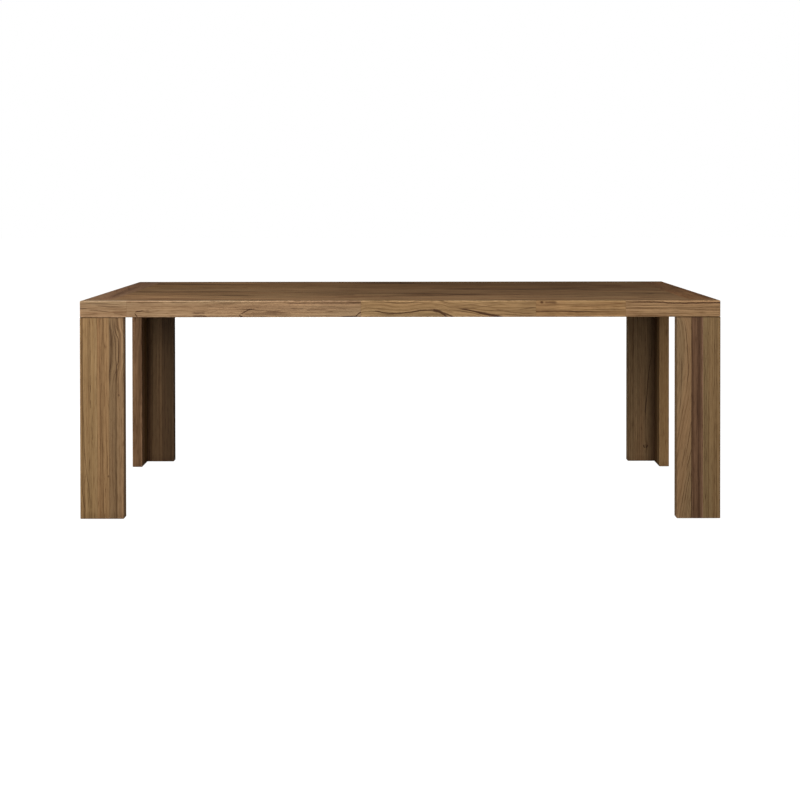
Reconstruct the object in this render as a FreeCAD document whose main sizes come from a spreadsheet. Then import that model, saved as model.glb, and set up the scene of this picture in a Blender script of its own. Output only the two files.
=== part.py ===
"""Parsons dining table: a framed plank top on four L-shaped legs that stand flush with its edges.

The table stands on the floor at z = 0 with its centre at the origin. Its length runs along X, its front
faces -Y, and +Z is up. All sizes are in millimetres.
"""
import FreeCAD, Part
import os
import re
import Sketcher

# Sizes that drive the table, in millimetres
SIZES = {
    # Whole table
    "table_length": 2200,
    "table_depth": 1000,
    "table_height": 750,
    "top_thickness": 57,
    # Framed top
    "rail_width": 40,
    "cap_width": 100,
    "plank_thickness": 38,
    "tongue_thickness": 10,
    "tongue_length": 10,
    "cap_tongue_length": 12,
    "groove_play": 0.1,
    "groove_end_play": 0.5,
    "top_arris": 3.5,
    # Battens under the planks
    "batten_width": 80,
    "batten_end_play": 1,
    # Dowels of the frame
    "dowel_radius": 5,
    "dowel_length": 50,
    "dowel_edge": 14,
    "dowel_rail_depth": 20,
    "dowel_play": 0.05,
    "dowel_end_play": 1,
    # Legs
    "leg_arm": 150,
    "leg_board": 40,
    "outer_stave": 60,
    "middle_stave": 40,
    "leg_arris": 2,
    "spline_thickness": 6,
    "spline_width": 20,
    "spline_inset": 40,
    "spline_play": 0.1,
    # Corner blocks inside the legs
    "block_width": 60,
    "block_height": 60,
    "block_chamfer": 5,
    # Bolts from the blocks into the top, and the threaded inserts that take them
    "bolt_radius": 4,
    "bolt_head_radius": 6.5,
    "bolt_head_height": 8,
    "bolt_head_recess": 10,
    "bolt_engagement": 20,
    "bolt_hole_play": 0.5,
    "bolt_key_flats": 6,
    "bolt_key_depth": 4,
    "insert_radius": 6,
    "insert_length": 25,
    "insert_play": 0.05,
    "insert_end_play": 3,
    "thread_play": 0.05,
    # Wood screws
    "screw_radius": 2.5,
    "screw_head_radius": 5,
    "screw_head_height": 3,
    "screw_tip_length": 6,
    "screw_key_flats": 4,
    "screw_key_depth": 1.5,
    "screw_hole_play": 0.1,
    "screw_head_recess": 4,
    "screw_end_play": 1,
    "batten_screw_length": 38,
    "block_screw_length": 65,
    "block_screw_recess": 20,
    # Levelling feet
    "foot_recess": 0.5,
    "pad_radius": 13,
    "pad_height": 7,
    "pad_arris": 1.5,
    "pad_play": 1,
    "socket_depth": 4,
    "collar_flats": 13,
    "collar_height": 5,
    "collar_play": 0.5,
    "stem_reach": 34,
    "stem_end_play": 2,
    "stem_chamfer": 1,
    "seat_gap": 0.1,
    # How far a cut runs past the wood
    "overrun": 5,
}

PLANK_COUNT = 5
# Butt joints along the edge rails, from the rail's first end, as shares of the table's length
FRONT_JOINT_SHARES = (0.073, 0.439, 0.712, 0.852)
BACK_JOINT_SHARES = (0.564,)
BATTEN_SHARES = (1 / 6, 1 / 2, 5 / 6)
CAP_DOWEL_SHARES = (0.2, 0.5)
SPLINE_PLACE_SHARE = 0.55
DIAGONAL_SHARE = 0.5 ** 0.5

# Sizes that follow from the driving ones
DERIVED = {
    "leg_height": "table_height - top_thickness",
    "field_length": "table_length - 2 * cap_width",
    "field_depth": "table_depth - 2 * rail_width",
    "plank_width": f"field_depth / {PLANK_COUNT}",
    "tongue_bottom": "(plank_thickness - tongue_thickness) / 2",
    "tongue_top": "(plank_thickness + tongue_thickness) / 2",
    "groove_depth": "tongue_length + groove_end_play",
    "groove_height": "tongue_thickness + 2 * groove_play",
    "groove_bottom": "batten_thickness + tongue_bottom - groove_play",
    "cap_groove_depth": "cap_tongue_length + groove_end_play",
    "batten_thickness": "top_thickness - plank_thickness",
    "second_line": "outer_stave + middle_stave",
    "inner_stave": "leg_arm - second_line",
    "dowel_hole": "dowel_radius + dowel_play",
    "dowel_half": "dowel_length / 2 + dowel_end_play",
    "bolt_line": "leg_board + block_width / 2",
    "bolt_seat": "leg_height - block_height + bolt_head_recess",
    "bolt_length": "block_height - bolt_head_recess + bolt_engagement",
    "insert_hole": "insert_radius + insert_play",
    "screw_hole": "screw_radius + screw_hole_play",
    "screw_head_hole": "screw_head_radius + 2 * screw_hole_play",
    "block_screw_height": "leg_height - block_height / 2",
    "block_screw_pilot": "block_screw_length - block_width + block_screw_recess + screw_end_play",
    "batten_screw_pilot": "batten_screw_length - batten_thickness + screw_head_recess + screw_end_play",
    "pad_top": "foot_recess + pad_height",
    "collar_bottom": "pad_top + seat_gap",
    "collar_top": "collar_bottom + collar_height",
    "foot_bore_depth": "collar_top + collar_play",
    "stem_top": "collar_top + stem_reach",
    "foot_line": "outer_stave + middle_stave / 2",
}

TOUCH_SHARE = 1e-6

doc = FreeCAD.newDocument("parsons_dining_table")
sheet = doc.addObject("Spreadsheet::Sheet", "Sizes")
for row, (alias, number) in enumerate(SIZES.items(), start=1):
    sheet.set(f"A{row}", alias)
    sheet.set(f"B{row}", str(number))
    sheet.setAlias(f"B{row}", alias)
doc.recompute()


def formula(text):
    """Write the sizes in a sum as cells of the sheet, with derived sizes written out."""
    def cell(match):
        word = match.group()
        if word in DERIVED:
            return f"({formula(DERIVED[word])})"
        if word in SIZES:
            return f"Sizes.{word}"
        return word
    return re.sub(r"[a-z][a-z_]*", cell, text)


def value(text):
    """The present value of a sum of sizes."""
    return float(sheet.evalExpression(formula(text)))


def bind(item, prop, text):
    """Tie a property to a sum of sizes."""
    item.setExpression(prop, formula(text))


# Drawing and cutting

NODES = []


def new_body(label, node=True):
    """A piece made from sketches; a node is exported under its label."""
    body = doc.addObject("PartDesign::Body", label)
    body.Label = label
    if node:
        NODES.append(body)
    return body


def new_sketch(body, plane, level):
    """A sketch parallel to one of the piece's own planes, at a level along that plane's normal."""
    sketch = body.newObject("Sketcher::SketchObject", f"{body.Name}_sketch")
    origin_plane = next(item for item in body.Origin.OriginFeatures if item.Role == plane)
    sketch.AttachmentSupport = [(origin_plane, "")]
    sketch.MapMode = "FlatFace"
    bind(sketch, "AttachmentOffset.Base.z", level)
    return sketch


def hold(sketch, kind, *terms):
    """Add a dimension to a sketch and tie it to a sum of sizes, given last."""
    *places, text = terms
    index = sketch.addConstraint(Sketcher.Constraint(kind, *places, value(text)))
    bind(sketch, f"Constraints[{index}]", text)


def outline(body, plane, corners, level="0"):
    """A closed outline of straight lines through corners given as sums of sizes."""
    sketch = new_sketch(body, plane, level)
    points = [FreeCAD.Vector(value(across), value(up), 0) for across, up in corners]
    ends = points[1:] + points[:1]
    lines = [sketch.addGeometry(Part.LineSegment(a, b)) for a, b in zip(points, ends)]
    for line, after in zip(lines, lines[1:] + lines[:1]):
        sketch.addConstraint(Sketcher.Constraint("Coincident", line, 2, after, 1))
    for line, (across, up) in zip(lines, corners):
        hold(sketch, "DistanceX", -1, 1, line, 1, across)
        hold(sketch, "DistanceY", -1, 1, line, 1, up)
    return sketch


def rectangle(body, plane, low, high, level="0"):
    """A rectangle between two opposite corners."""
    corners = [low, (high[0], low[1]), high, (low[0], high[1])]
    return outline(body, plane, corners, level)


def circles(body, plane, centres, radius, level="0"):
    """Circles of one radius."""
    sketch = new_sketch(body, plane, level)
    for across, up in centres:
        centre = FreeCAD.Vector(value(across), value(up), 0)
        circle = sketch.addGeometry(Part.Circle(centre, FreeCAD.Vector(0, 0, 1), value(radius)))
        hold(sketch, "DistanceX", -1, 1, circle, 3, across)
        hold(sketch, "DistanceY", -1, 1, circle, 3, up)
        hold(sketch, "Radius", circle, radius)
    return sketch


def hexagon(body, flats, level):
    """A hexagon about the piece's axis, given across its flats."""
    half = f"({flats}) / 2"
    side = f"({flats}) / 2 / sqrt(3)"
    corners = [
        (f"2 * {side}", "0"),
        (side, half),
        (f"-({side})", half),
        (f"-2 * {side}", "0"),
        (f"-({side})", f"-({half})"),
        (side, f"-({half})"),
    ]
    return outline(body, "XY_Plane", corners, level)


def pad(body, sketch, length, side="One side"):
    """Raise a sketch along its normal, or to both sides of it."""
    feature = body.newObject("PartDesign::Pad", f"{body.Name}_pad")
    feature.Profile = sketch
    feature.SideType = side
    bind(feature, "Length", length)
    doc.recompute()


def pocket(body, sketch, depth, direction=1):
    """Cut a sketch into the piece along its normal (1) or against it (-1)."""
    before = body.Shape.Volume
    feature = body.newObject("PartDesign::Pocket", f"{body.Name}_pocket")
    feature.Profile = sketch
    feature.Reversed = direction > 0
    bind(feature, "Length", depth)
    doc.recompute()
    if body.Shape.Volume >= before:
        raise RuntimeError(f"a cut in {body.Label} removes nothing")


def turn(body, profile):
    """Turn a half outline, drawn on the XZ plane, about the piece's own Z axis."""
    sketch = outline(body, "XZ_Plane", profile)
    feature = body.newObject("PartDesign::Revolution", f"{body.Name}_turning")
    feature.Profile = sketch
    feature.ReferenceAxis = (sketch, ["V_Axis"])
    feature.Angle = 360
    doc.recompute()


def edges_on(shape, pairs):
    """Names of the edges that lie where two outer sides of a piece meet, or on one side given twice."""
    box = shape.BoundBox
    near = TOUCH_SHARE * box.DiagonalLength
    planes = {
        "left": ("X", box.XMin),
        "right": ("X", box.XMax),
        "front": ("Y", box.YMin),
        "back": ("Y", box.YMax),
        "bottom": ("Z", box.ZMin),
        "top": ("Z", box.ZMax),
    }

    def on(edge, side):
        axis, place = planes[side]
        low = getattr(edge.BoundBox, f"{axis}Min")
        high = getattr(edge.BoundBox, f"{axis}Max")
        return abs(low - place) < near and abs(high - place) < near

    return [
        f"Edge{index}"
        for index, edge in enumerate(shape.Edges, start=1)
        if any(on(edge, one) and on(edge, other) for one, other in pairs)
    ]


def ease(body, pairs, radius):
    """Round the edges where the named sides meet."""
    feature = body.newObject("PartDesign::Fillet", f"{body.Name}_easing")
    base = feature.BaseFeature
    feature.Base = (base, edges_on(base.Shape, pairs))
    bind(feature, "Radius", radius)
    doc.recompute()


def bevel(body, pairs, size):
    """Bevel the edges where the named sides meet."""
    feature = body.newObject("PartDesign::Chamfer", f"{body.Name}_bevel")
    base = feature.BaseFeature
    feature.Base = (base, edges_on(base.Shape, pairs))
    bind(feature, "Size", size)
    doc.recompute()


def place(item, x, y, z, axis=(0, 0, 1), angle=0):
    """Set a piece's place from sums of sizes, and its turn about an axis."""
    turned = FreeCAD.Rotation(FreeCAD.Vector(*axis), angle)
    item.Placement = FreeCAD.Placement(FreeCAD.Vector(), turned)
    bind(item, "Placement.Base.x", x)
    bind(item, "Placement.Base.y", y)
    bind(item, "Placement.Base.z", z)


def group(label, pattern, places):
    """Equal small pieces as separate solids in one node.

    Each place is x, y and z, and for a turned piece an axis and an angle.
    """
    copies = []
    for spot in places:
        copy = doc.addObject("App::Link", f"{label}_copy")
        copy.LinkedObject = pattern
        place(copy, *spot)
        copies.append(copy)
    node = doc.addObject("Part::Compound", label)
    node.Label = label
    node.Links = copies
    NODES.append(node)


# Edge rails of the top, jointed from lengths

def rail(name, joint_shares, side):
    """A rail in its own frame: its outer face on y = 0, its underside on z = 0, counted from its first end.

    The back rail (side 1) is the front rail's frame (side -1) turned half round.
    """
    marks = (0, *joint_shares, 1)
    last = len(joint_shares) + 1
    for number, (start, finish) in enumerate(zip(marks, marks[1:]), start=1):
        length = f"({finish} - {start}) * table_length"
        piece = new_body(f"{name}_{number}")
        pad(piece, rectangle(piece, "YZ_Plane", ("0", "0"), ("rail_width", "top_thickness")), length)
        round_pairs = [("front", "top"), ("front", "bottom")]
        if number == 1:
            round_pairs += [("left", "front"), ("left", "top"), ("left", "bottom")]
        if number == last:
            round_pairs += [("right", "front"), ("right", "top"), ("right", "bottom")]
        ease(piece, round_pairs, "top_arris")
        rail_groove(piece, length, number == 1, number == last)
        if number > 1:
            rail_dowel_holes(piece, "0", 1)
        if number < last:
            rail_dowel_holes(piece, length, -1)
        if number == 1:
            cap_dowel_holes_in_rail(piece, [f"{share} * cap_width" for share in CAP_DOWEL_SHARES])
        if number == last:
            ends = [f"{length} - {share} * cap_width" for share in CAP_DOWEL_SHARES]
            cap_dowel_holes_in_rail(piece, ends)
        angle = 0 if side < 0 else 180
        place(piece, rail_mark(start, side), f"{side} * table_depth / 2", "leg_height", angle=angle)


def rail_mark(share, side):
    """The place along x of a share of a rail's length, counted from its first end."""
    return f"{side} * (table_length / 2 - {share} * table_length)"


def rail_groove(piece, length, is_first, is_last):
    """The groove for the planks' tongues, which stops at the end caps."""
    low = "cap_width" if is_first else "-overrun"
    high = f"{length} - cap_width" if is_last else f"{length} + overrun"
    corner = (low, "rail_width - groove_depth")
    pocket(piece, rectangle(piece, "XY_Plane", corner, (high, "rail_width + overrun"), "groove_bottom"),
           "groove_height")


def rail_dowel_holes(piece, level, direction):
    """Two dowel holes in a butt joint's face."""
    centres = [("dowel_edge", "dowel_edge"), ("dowel_edge", "top_thickness - dowel_edge")]
    pocket(piece, circles(piece, "YZ_Plane", centres, "dowel_hole", level), "dowel_half", direction)


def cap_dowel_holes_in_rail(piece, runs):
    """Dowel holes in a rail's inner face, for an end cap."""
    centres = [(run, "top_thickness / 2") for run in runs]
    sketch = circles(piece, "XZ_Plane", centres, "dowel_hole", "-rail_width")
    pocket(piece, sketch, "dowel_rail_depth + dowel_end_play")


rail("front_rail", FRONT_JOINT_SHARES, -1)
rail("back_rail", BACK_JOINT_SHARES, 1)


# End caps across the ends of the planks

BOLT_RUNS = ("outer_stave", "second_line")


def end_cap(name, side):
    """A cap in its own frame: its outer face on x = 0, its underside on z = 0, from rail to rail along y."""
    cap = new_body(name)
    pad(cap, rectangle(cap, "XY_Plane", ("0", "0"), ("cap_width", "field_depth")), "top_thickness")
    ease(cap, [("left", "top"), ("left", "bottom")], "top_arris")
    low = ("cap_width - cap_groove_depth", "-overrun")
    high = ("cap_width + overrun", "field_depth + overrun")
    pocket(cap, rectangle(cap, "XY_Plane", low, high, "groove_bottom"), "groove_height")
    centres = [(f"{share} * cap_width", "top_thickness / 2") for share in CAP_DOWEL_SHARES]
    depth = "dowel_length - dowel_rail_depth + dowel_end_play"
    pocket(cap, circles(cap, "XZ_Plane", centres, "dowel_hole"), depth, -1)
    pocket(cap, circles(cap, "XZ_Plane", centres, "dowel_hole", "-(field_depth)"), depth)
    near = [("bolt_line", f"{run} - rail_width") for run in BOLT_RUNS]
    far = [("bolt_line", f"field_depth - ({run} - rail_width)") for run in BOLT_RUNS]
    pocket(cap, circles(cap, "XY_Plane", near + far, "insert_hole"), "insert_length + insert_end_play")
    angle = 0 if side < 0 else 180
    front_end = f"{side} * (table_depth / 2 - rail_width)"
    place(cap, f"{side} * table_length / 2", front_end, "leg_height", angle=angle)


end_cap("left_end_cap", -1)
end_cap("right_end_cap", 1)


# Planks of the field, tongued into each other, the rails and the caps

def batten_place(share):
    """Where a batten crosses the field, from its middle."""
    return f"field_length * {share - 0.5}"


def plank(number):
    """A plank in its own frame: its front edge on y = 0, its underside on z = 0, its middle on x = 0."""
    piece = new_body(f"field_plank_{number}")
    back = [
        ("0", "0"),
        ("plank_width", "0"),
        ("plank_width", "tongue_bottom"),
        ("plank_width + tongue_length", "tongue_bottom"),
        ("plank_width + tongue_length", "tongue_top"),
        ("plank_width", "tongue_top"),
        ("plank_width", "plank_thickness"),
        ("0", "plank_thickness"),
    ]
    if number == 1:
        solid_from = "0"
        reach = "-tongue_length"
        low, high = "tongue_bottom", "tongue_top"
    else:
        solid_from = "groove_depth"
        reach = "groove_depth"
        low, high = "tongue_bottom - groove_play", "tongue_top + groove_play"
    front = [("0", high), (reach, high), (reach, low), ("0", low)]
    pad(piece, outline(piece, "YZ_Plane", back + front), "field_length", "Symmetric")
    tongue = rectangle(piece, "YZ_Plane", (solid_from, "tongue_bottom"), ("plank_width", "tongue_top"))
    pad(piece, tongue, "field_length + 2 * cap_tongue_length", "Symmetric")
    centres = [(batten_place(share), "plank_width / 2") for share in BATTEN_SHARES]
    pocket(piece, circles(piece, "XY_Plane", centres, "screw_hole"), "batten_screw_pilot")
    front_edge = f"rail_width + {number - 1} * plank_width - table_depth / 2"
    place(piece, "0", front_edge, "table_height - plank_thickness")


for plank_number in range(1, PLANK_COUNT + 1):
    plank(plank_number)


# Battens across the planks' undersides, flush with the frame

def batten(name, share):
    """A batten in its own frame: its middle on x = 0, its underside on z = 0, from rail to rail along y."""
    piece = new_body(name)
    low = ("-batten_width / 2", "batten_end_play")
    high = ("batten_width / 2", "field_depth - batten_end_play")
    pad(piece, rectangle(piece, "XY_Plane", low, high), "batten_thickness")
    ease(piece, [("left", "bottom"), ("right", "bottom")], "leg_arris")
    centres = [("0", f"{index + 0.5} * plank_width") for index in range(PLANK_COUNT)]
    pocket(piece, circles(piece, "XY_Plane", centres, "screw_head_hole"), "screw_head_recess")
    pocket(piece, circles(piece, "XY_Plane", centres, "screw_hole"), "batten_thickness + overrun")
    place(piece, batten_place(share), "rail_width - table_depth / 2", "leg_height")


for batten_name, batten_share in zip(("left_batten", "middle_batten", "right_batten"), BATTEN_SHARES):
    batten(batten_name, batten_share)


# Legs: two boards of three staves, mitred at the outer corner

STAVES = {
    "outer": ("0", "outer_stave"),
    "middle": ("outer_stave", "second_line"),
    "inner": ("second_line", "leg_arm"),
}
# Each leg's corner, and the way from it into the table along x and y
CORNERS = {
    "front_left": (1, 1),
    "front_right": (-1, 1),
    "rear_left": (1, -1),
    "rear_right": (-1, -1),
}


def spline_outline(corner, play):
    """A strip across the mitre, as four corners in plan, with play all round."""
    middle = f"{SPLINE_PLACE_SHARE} * leg_board"
    width = f"(spline_width / 2 + {play}) * {DIAGONAL_SHARE}"
    half = f"(spline_thickness / 2 + {play}) * {DIAGONAL_SHARE}"
    signs = ((1, 1), (1, -1), (-1, -1), (-1, 1))
    return [
        corner(f"{middle} + {a} * {width} + {b} * {half}", f"{middle} - {a} * {width} + {b} * {half}")
        for a, b in signs
    ]


def leg(name, inward_x, inward_y):
    """A leg in the frame of its outer corner on the floor."""
    def face_spot(run, depth):
        return f"{inward_x} * ({run})", f"{inward_y} * ({depth})"

    def side_spot(run, depth):
        return face_spot(depth, run)

    end_sides = ("left", "right") if inward_x > 0 else ("right", "left")
    long_sides = ("front", "back") if inward_y > 0 else ("back", "front")
    boards = {
        "face": (face_spot, long_sides, end_sides),
        "side": (side_spot, end_sides, long_sides),
    }
    for board, (spot, (outside, inside), (corner_end, free_end)) in boards.items():
        for stave, (start, finish) in STAVES.items():
            piece = new_body(f"{name}_{board}_{stave}_stave")
            section = rectangle(piece, "XY_Plane", spot(start, "0"), spot(finish, "leg_board"))
            pad(piece, section, "leg_height")
            pairs = [(outside, "top"), (outside, "bottom"), (inside, "bottom")]
            if stave == "outer":
                pairs += [(outside, corner_end), (corner_end, "top"), (corner_end, "bottom")]
            if stave == "inner":
                pairs += [(outside, free_end), (inside, free_end), (free_end, "top"), (free_end, "bottom")]
            ease(piece, pairs, "leg_arris")
            if stave == "outer":
                mitre(piece, spot)
            if board == "side" and stave != "outer":
                block_screw_pilot(piece, f"({start} + {finish}) / 2", inward_x, inward_y)
            if board == "face" and stave == "middle":
                foot_hole(piece, spot("foot_line", "leg_board / 2"))
            place(piece, f"{-inward_x} * table_length / 2", f"{-inward_y} * table_depth / 2", "0")
    corner_block(name, inward_x, inward_y)


def mitre(piece, spot):
    """The slanting joint face at a leg's corner, with the stopped groove for its spline."""
    past = "leg_board + overrun"
    triangle = [spot("-overrun", "-overrun"), spot(past, past), spot("-overrun", past)]
    pocket(piece, outline(piece, "XY_Plane", triangle, "-overrun"), "leg_height + 2 * overrun")
    groove = outline(piece, "XY_Plane", spline_outline(spot, "spline_play"), "spline_inset")
    pocket(piece, groove, "leg_height - 2 * spline_inset")


def block_screw_pilot(piece, run, inward_x, inward_y):
    """A pilot hole for the corner block's screw, from the board's inner face."""
    centre = (f"{inward_y} * {run}", "block_screw_height")
    sketch = circles(piece, "YZ_Plane", [centre], "screw_hole", f"{inward_x} * leg_board")
    pocket(piece, sketch, "block_screw_pilot", -inward_x)


def foot_hole(piece, centre):
    """The stepped hole for a levelling foot, from the floor up: pad, insert and the stem's end."""
    steps = {
        "pad_radius + pad_play": "foot_bore_depth",
        "insert_hole": "foot_bore_depth + insert_length",
        "bolt_radius + bolt_hole_play": "stem_top + stem_end_play",
    }
    for radius, depth in steps.items():
        pocket(piece, circles(piece, "XY_Plane", [centre], radius), depth)


def corner_block(name, inward_x, inward_y):
    """A block inside the top of a leg, in the frame of the leg's outer corner."""
    block = new_body(f"{name}_corner_block")
    low = (f"{inward_x} * leg_board", f"{inward_y} * leg_board")
    high = (f"{inward_x} * (leg_board + block_width)", f"{inward_y} * leg_arm")
    base = "leg_height - block_height"
    pad(block, rectangle(block, "XY_Plane", low, high, base), "block_height")
    inner_end = "right" if inward_x > 0 else "left"
    inner_long = "back" if inward_y > 0 else "front"
    bevel(block, [(inner_end, "bottom"), (inner_long, "bottom"), (inner_end, inner_long)], "block_chamfer")
    bolts = [(f"{inward_x} * (bolt_line)", f"{inward_y} * ({run})") for run in BOLT_RUNS]
    head_hole = "bolt_head_radius + bolt_hole_play"
    bolt_hole = "bolt_radius + bolt_hole_play"
    pocket(block, circles(block, "XY_Plane", bolts, head_hole, base), "bolt_head_recess")
    pocket(block, circles(block, "XY_Plane", bolts, bolt_hole, base), "block_height + overrun")
    screws = [(f"{inward_y} * ({run})", "block_screw_height") for run in BLOCK_SCREW_RUNS]
    face = f"{inward_x} * (leg_board + block_width)"
    screw_heads = circles(block, "YZ_Plane", screws, "screw_head_hole", face)
    pocket(block, screw_heads, "block_screw_recess", -inward_x)
    screw_shanks = circles(block, "YZ_Plane", screws, "screw_hole", face)
    pocket(block, screw_shanks, "block_width + overrun", -inward_x)
    place(block, f"{-inward_x} * table_length / 2", f"{-inward_y} * table_depth / 2", "0")


BLOCK_SCREW_RUNS = ("foot_line", "second_line + (inner_stave) / 2")
for leg_name, inward in CORNERS.items():
    leg(leg_name, *inward)


# Levelling feet: a pad that slides down as its stem is screwed out of the leg

def foot_pad(name):
    """A nylon pad with a socket for the stem's end."""
    piece = new_body(f"{name}_foot_pad")
    pad(piece, circles(piece, "XY_Plane", [("0", "0")], "pad_radius", "foot_recess"), "pad_height")
    ease(piece, [("bottom", "bottom")], "pad_arris")
    socket = circles(piece, "XY_Plane", [("0", "0")], "bolt_radius + thread_play", "pad_top")
    pocket(piece, socket, "socket_depth", -1)
    return piece


def foot_stem(name):
    """A threaded stem with a hexagon collar to turn it by."""
    piece = new_body(f"{name}_foot_stem")
    profile = [
        ("0", "pad_top - socket_depth + seat_gap"),
        ("bolt_radius", "pad_top - socket_depth + seat_gap"),
        ("bolt_radius", "stem_top - stem_chamfer"),
        ("bolt_radius - stem_chamfer", "stem_top"),
        ("0", "stem_top"),
    ]
    turn(piece, profile)
    pad(piece, hexagon(piece, "collar_flats", "collar_bottom"), "collar_height")
    return piece


for leg_name, (inward_x, inward_y) in CORNERS.items():
    for piece in (foot_pad(leg_name), foot_stem(leg_name)):
        x = f"{-inward_x} * (table_length / 2 - (foot_line))"
        y = f"{-inward_y} * (table_depth / 2 - leg_board / 2)"
        place(piece, x, y, "0")


# Patterns of the small pieces, each about its own axis

def dowel_pattern():
    """A dowel along x, from its middle."""
    piece = new_body("dowel_pattern", node=False)
    pad(piece, circles(piece, "YZ_Plane", [("0", "0")], "dowel_radius"), "dowel_length", "Symmetric")
    return piece


def bolt_pattern():
    """A bolt with a hexagon socket, its head's seat on z = 0 and its thread upward."""
    piece = new_body("bolt_pattern", node=False)
    profile = [
        ("0", "-bolt_head_height"),
        ("bolt_head_radius", "-bolt_head_height"),
        ("bolt_head_radius", "0"),
        ("bolt_radius", "0"),
        ("bolt_radius", "bolt_length - stem_chamfer"),
        ("bolt_radius - stem_chamfer", "bolt_length"),
        ("0", "bolt_length"),
    ]
    turn(piece, profile)
    pocket(piece, hexagon(piece, "bolt_key_flats", "-bolt_head_height"), "bolt_key_depth")
    return piece


def insert_pattern():
    """A threaded insert as a plain sleeve, its mouth on z = 0."""
    piece = new_body("insert_pattern", node=False)
    pad(piece, circles(piece, "XY_Plane", [("0", "0")], "insert_radius"), "insert_length")
    bore = circles(piece, "XY_Plane", [("0", "0")], "bolt_radius + thread_play")
    pocket(piece, bore, "insert_length + overrun")
    return piece


def screw_pattern(name, length):
    """A wood screw, its head's seat on z = 0 and its point upward."""
    piece = new_body(name, node=False)
    profile = [
        ("0", "-screw_head_height"),
        ("screw_head_radius", "-screw_head_height"),
        ("screw_head_radius", "0"),
        ("screw_radius", "0"),
        ("screw_radius", f"{length} - screw_tip_length"),
        ("0", length),
    ]
    turn(piece, profile)
    pocket(piece, hexagon(piece, "screw_key_flats", "-screw_head_height"), "screw_key_depth")
    return piece


def spline_pattern(name, inward_x, inward_y):
    """A leg's mitre spline, in the frame of the leg's outer corner."""
    piece = new_body(f"{name}_spline_pattern", node=False)

    def spot(run, depth):
        return f"{inward_x} * ({run})", f"{inward_y} * ({depth})"

    section = outline(piece, "XY_Plane", spline_outline(spot, "0"), "spline_inset")
    pad(piece, section, "leg_height - 2 * spline_inset")
    return piece


# Places of the small pieces

def rail_dowel_places(joint_shares, side):
    """Two dowels at each butt joint of a rail."""
    return [
        (rail_mark(share, side), f"{side} * (table_depth / 2 - dowel_edge)", height)
        for share in joint_shares
        for height in ("leg_height + dowel_edge", "table_height - dowel_edge")
    ]


def cap_dowel_places():
    """Two dowels at each end of each cap, part in the cap and part in the rail."""
    middle = "rail_width - dowel_rail_depth + dowel_length / 2"
    return [
        (
            f"{sx} * (table_length / 2 - {share} * cap_width)",
            f"{sy} * (table_depth / 2 - ({middle}))",
            "leg_height + top_thickness / 2",
            (0, 0, 1),
            90,
        )
        for sx in (-1, 1)
        for sy in (-1, 1)
        for share in CAP_DOWEL_SHARES
    ]


def leg_places(runs, line, height):
    """Places given by runs along the table's ends and a line along its length, at every leg."""
    return [
        (f"{-ix} * (table_length / 2 - ({line}))", f"{-iy} * (table_depth / 2 - ({run}))", height)
        for ix, iy in CORNERS.values()
        for run in runs
    ]


def block_screw_places():
    """Two screws in each corner block, pointing at the table's ends."""
    seat = "leg_board + block_width - block_screw_recess"
    return [
        (
            f"{-ix} * (table_length / 2 - ({seat}))",
            f"{-iy} * (table_depth / 2 - ({run}))",
            "block_screw_height",
            (0, 1, 0),
            -90 * ix,
        )
        for ix, iy in CORNERS.values()
        for run in BLOCK_SCREW_RUNS
    ]


def batten_screw_places():
    """A screw through each batten into each plank."""
    return [
        (
            batten_place(share),
            f"rail_width + {index + 0.5} * plank_width - table_depth / 2",
            "leg_height + screw_head_recess",
        )
        for share in BATTEN_SHARES
        for index in range(PLANK_COUNT)
    ]


dowel = dowel_pattern()
insert = insert_pattern()
rail_dowels = rail_dowel_places(FRONT_JOINT_SHARES, -1) + rail_dowel_places(BACK_JOINT_SHARES, 1)
group("frame_dowels", dowel, rail_dowels + cap_dowel_places())
group("leg_bolts", bolt_pattern(), leg_places(BOLT_RUNS, "bolt_line", "bolt_seat"))
group("top_inserts", insert, leg_places(BOLT_RUNS, "bolt_line", "leg_height"))
group("foot_inserts", insert, leg_places(["leg_board / 2"], "foot_line", "foot_bore_depth"))
group("block_screws", screw_pattern("block_screw_pattern", "block_screw_length"), block_screw_places())
group("batten_screws", screw_pattern("batten_screw_pattern", "batten_screw_length"), batten_screw_places())

splines = []
for leg_name, (inward_x, inward_y) in CORNERS.items():
    spline = spline_pattern(leg_name, inward_x, inward_y)
    place(spline, f"{-inward_x} * table_length / 2", f"{-inward_y} * table_depth / 2", "0")
    splines.append(spline)
leg_splines = doc.addObject("Part::Compound", "leg_splines")
leg_splines.Label = "leg_splines"
leg_splines.Links = splines
NODES.append(leg_splines)


# Checks, then one file for each piece

doc.recompute()
failed = [item.Label for item in doc.Objects if {"Invalid", "Error"} & set(item.State)]
if failed:
    raise RuntimeError(f"failed to build: {failed}")
for node in NODES:
    if node.Shape.isNull() or not node.Shape.isValid():
        raise RuntimeError(f"{node.Label} has no valid shape")
os.makedirs("parts", exist_ok=True)
for node in NODES:
    node.Shape.exportStep(f"parts/{node.Label}.step")
print(f"{len(NODES)} nodes, {sum(len(node.Shape.Solids) for node in NODES)} solids")
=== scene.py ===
"""Looks of the parsons dining table: oiled teak with its figure, plain hardware and a pale studio floor.

All sizes are in metres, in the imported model's frame: the table's length runs along X, its front faces -Y
and +Z is up.
"""
import math
import random

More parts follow.
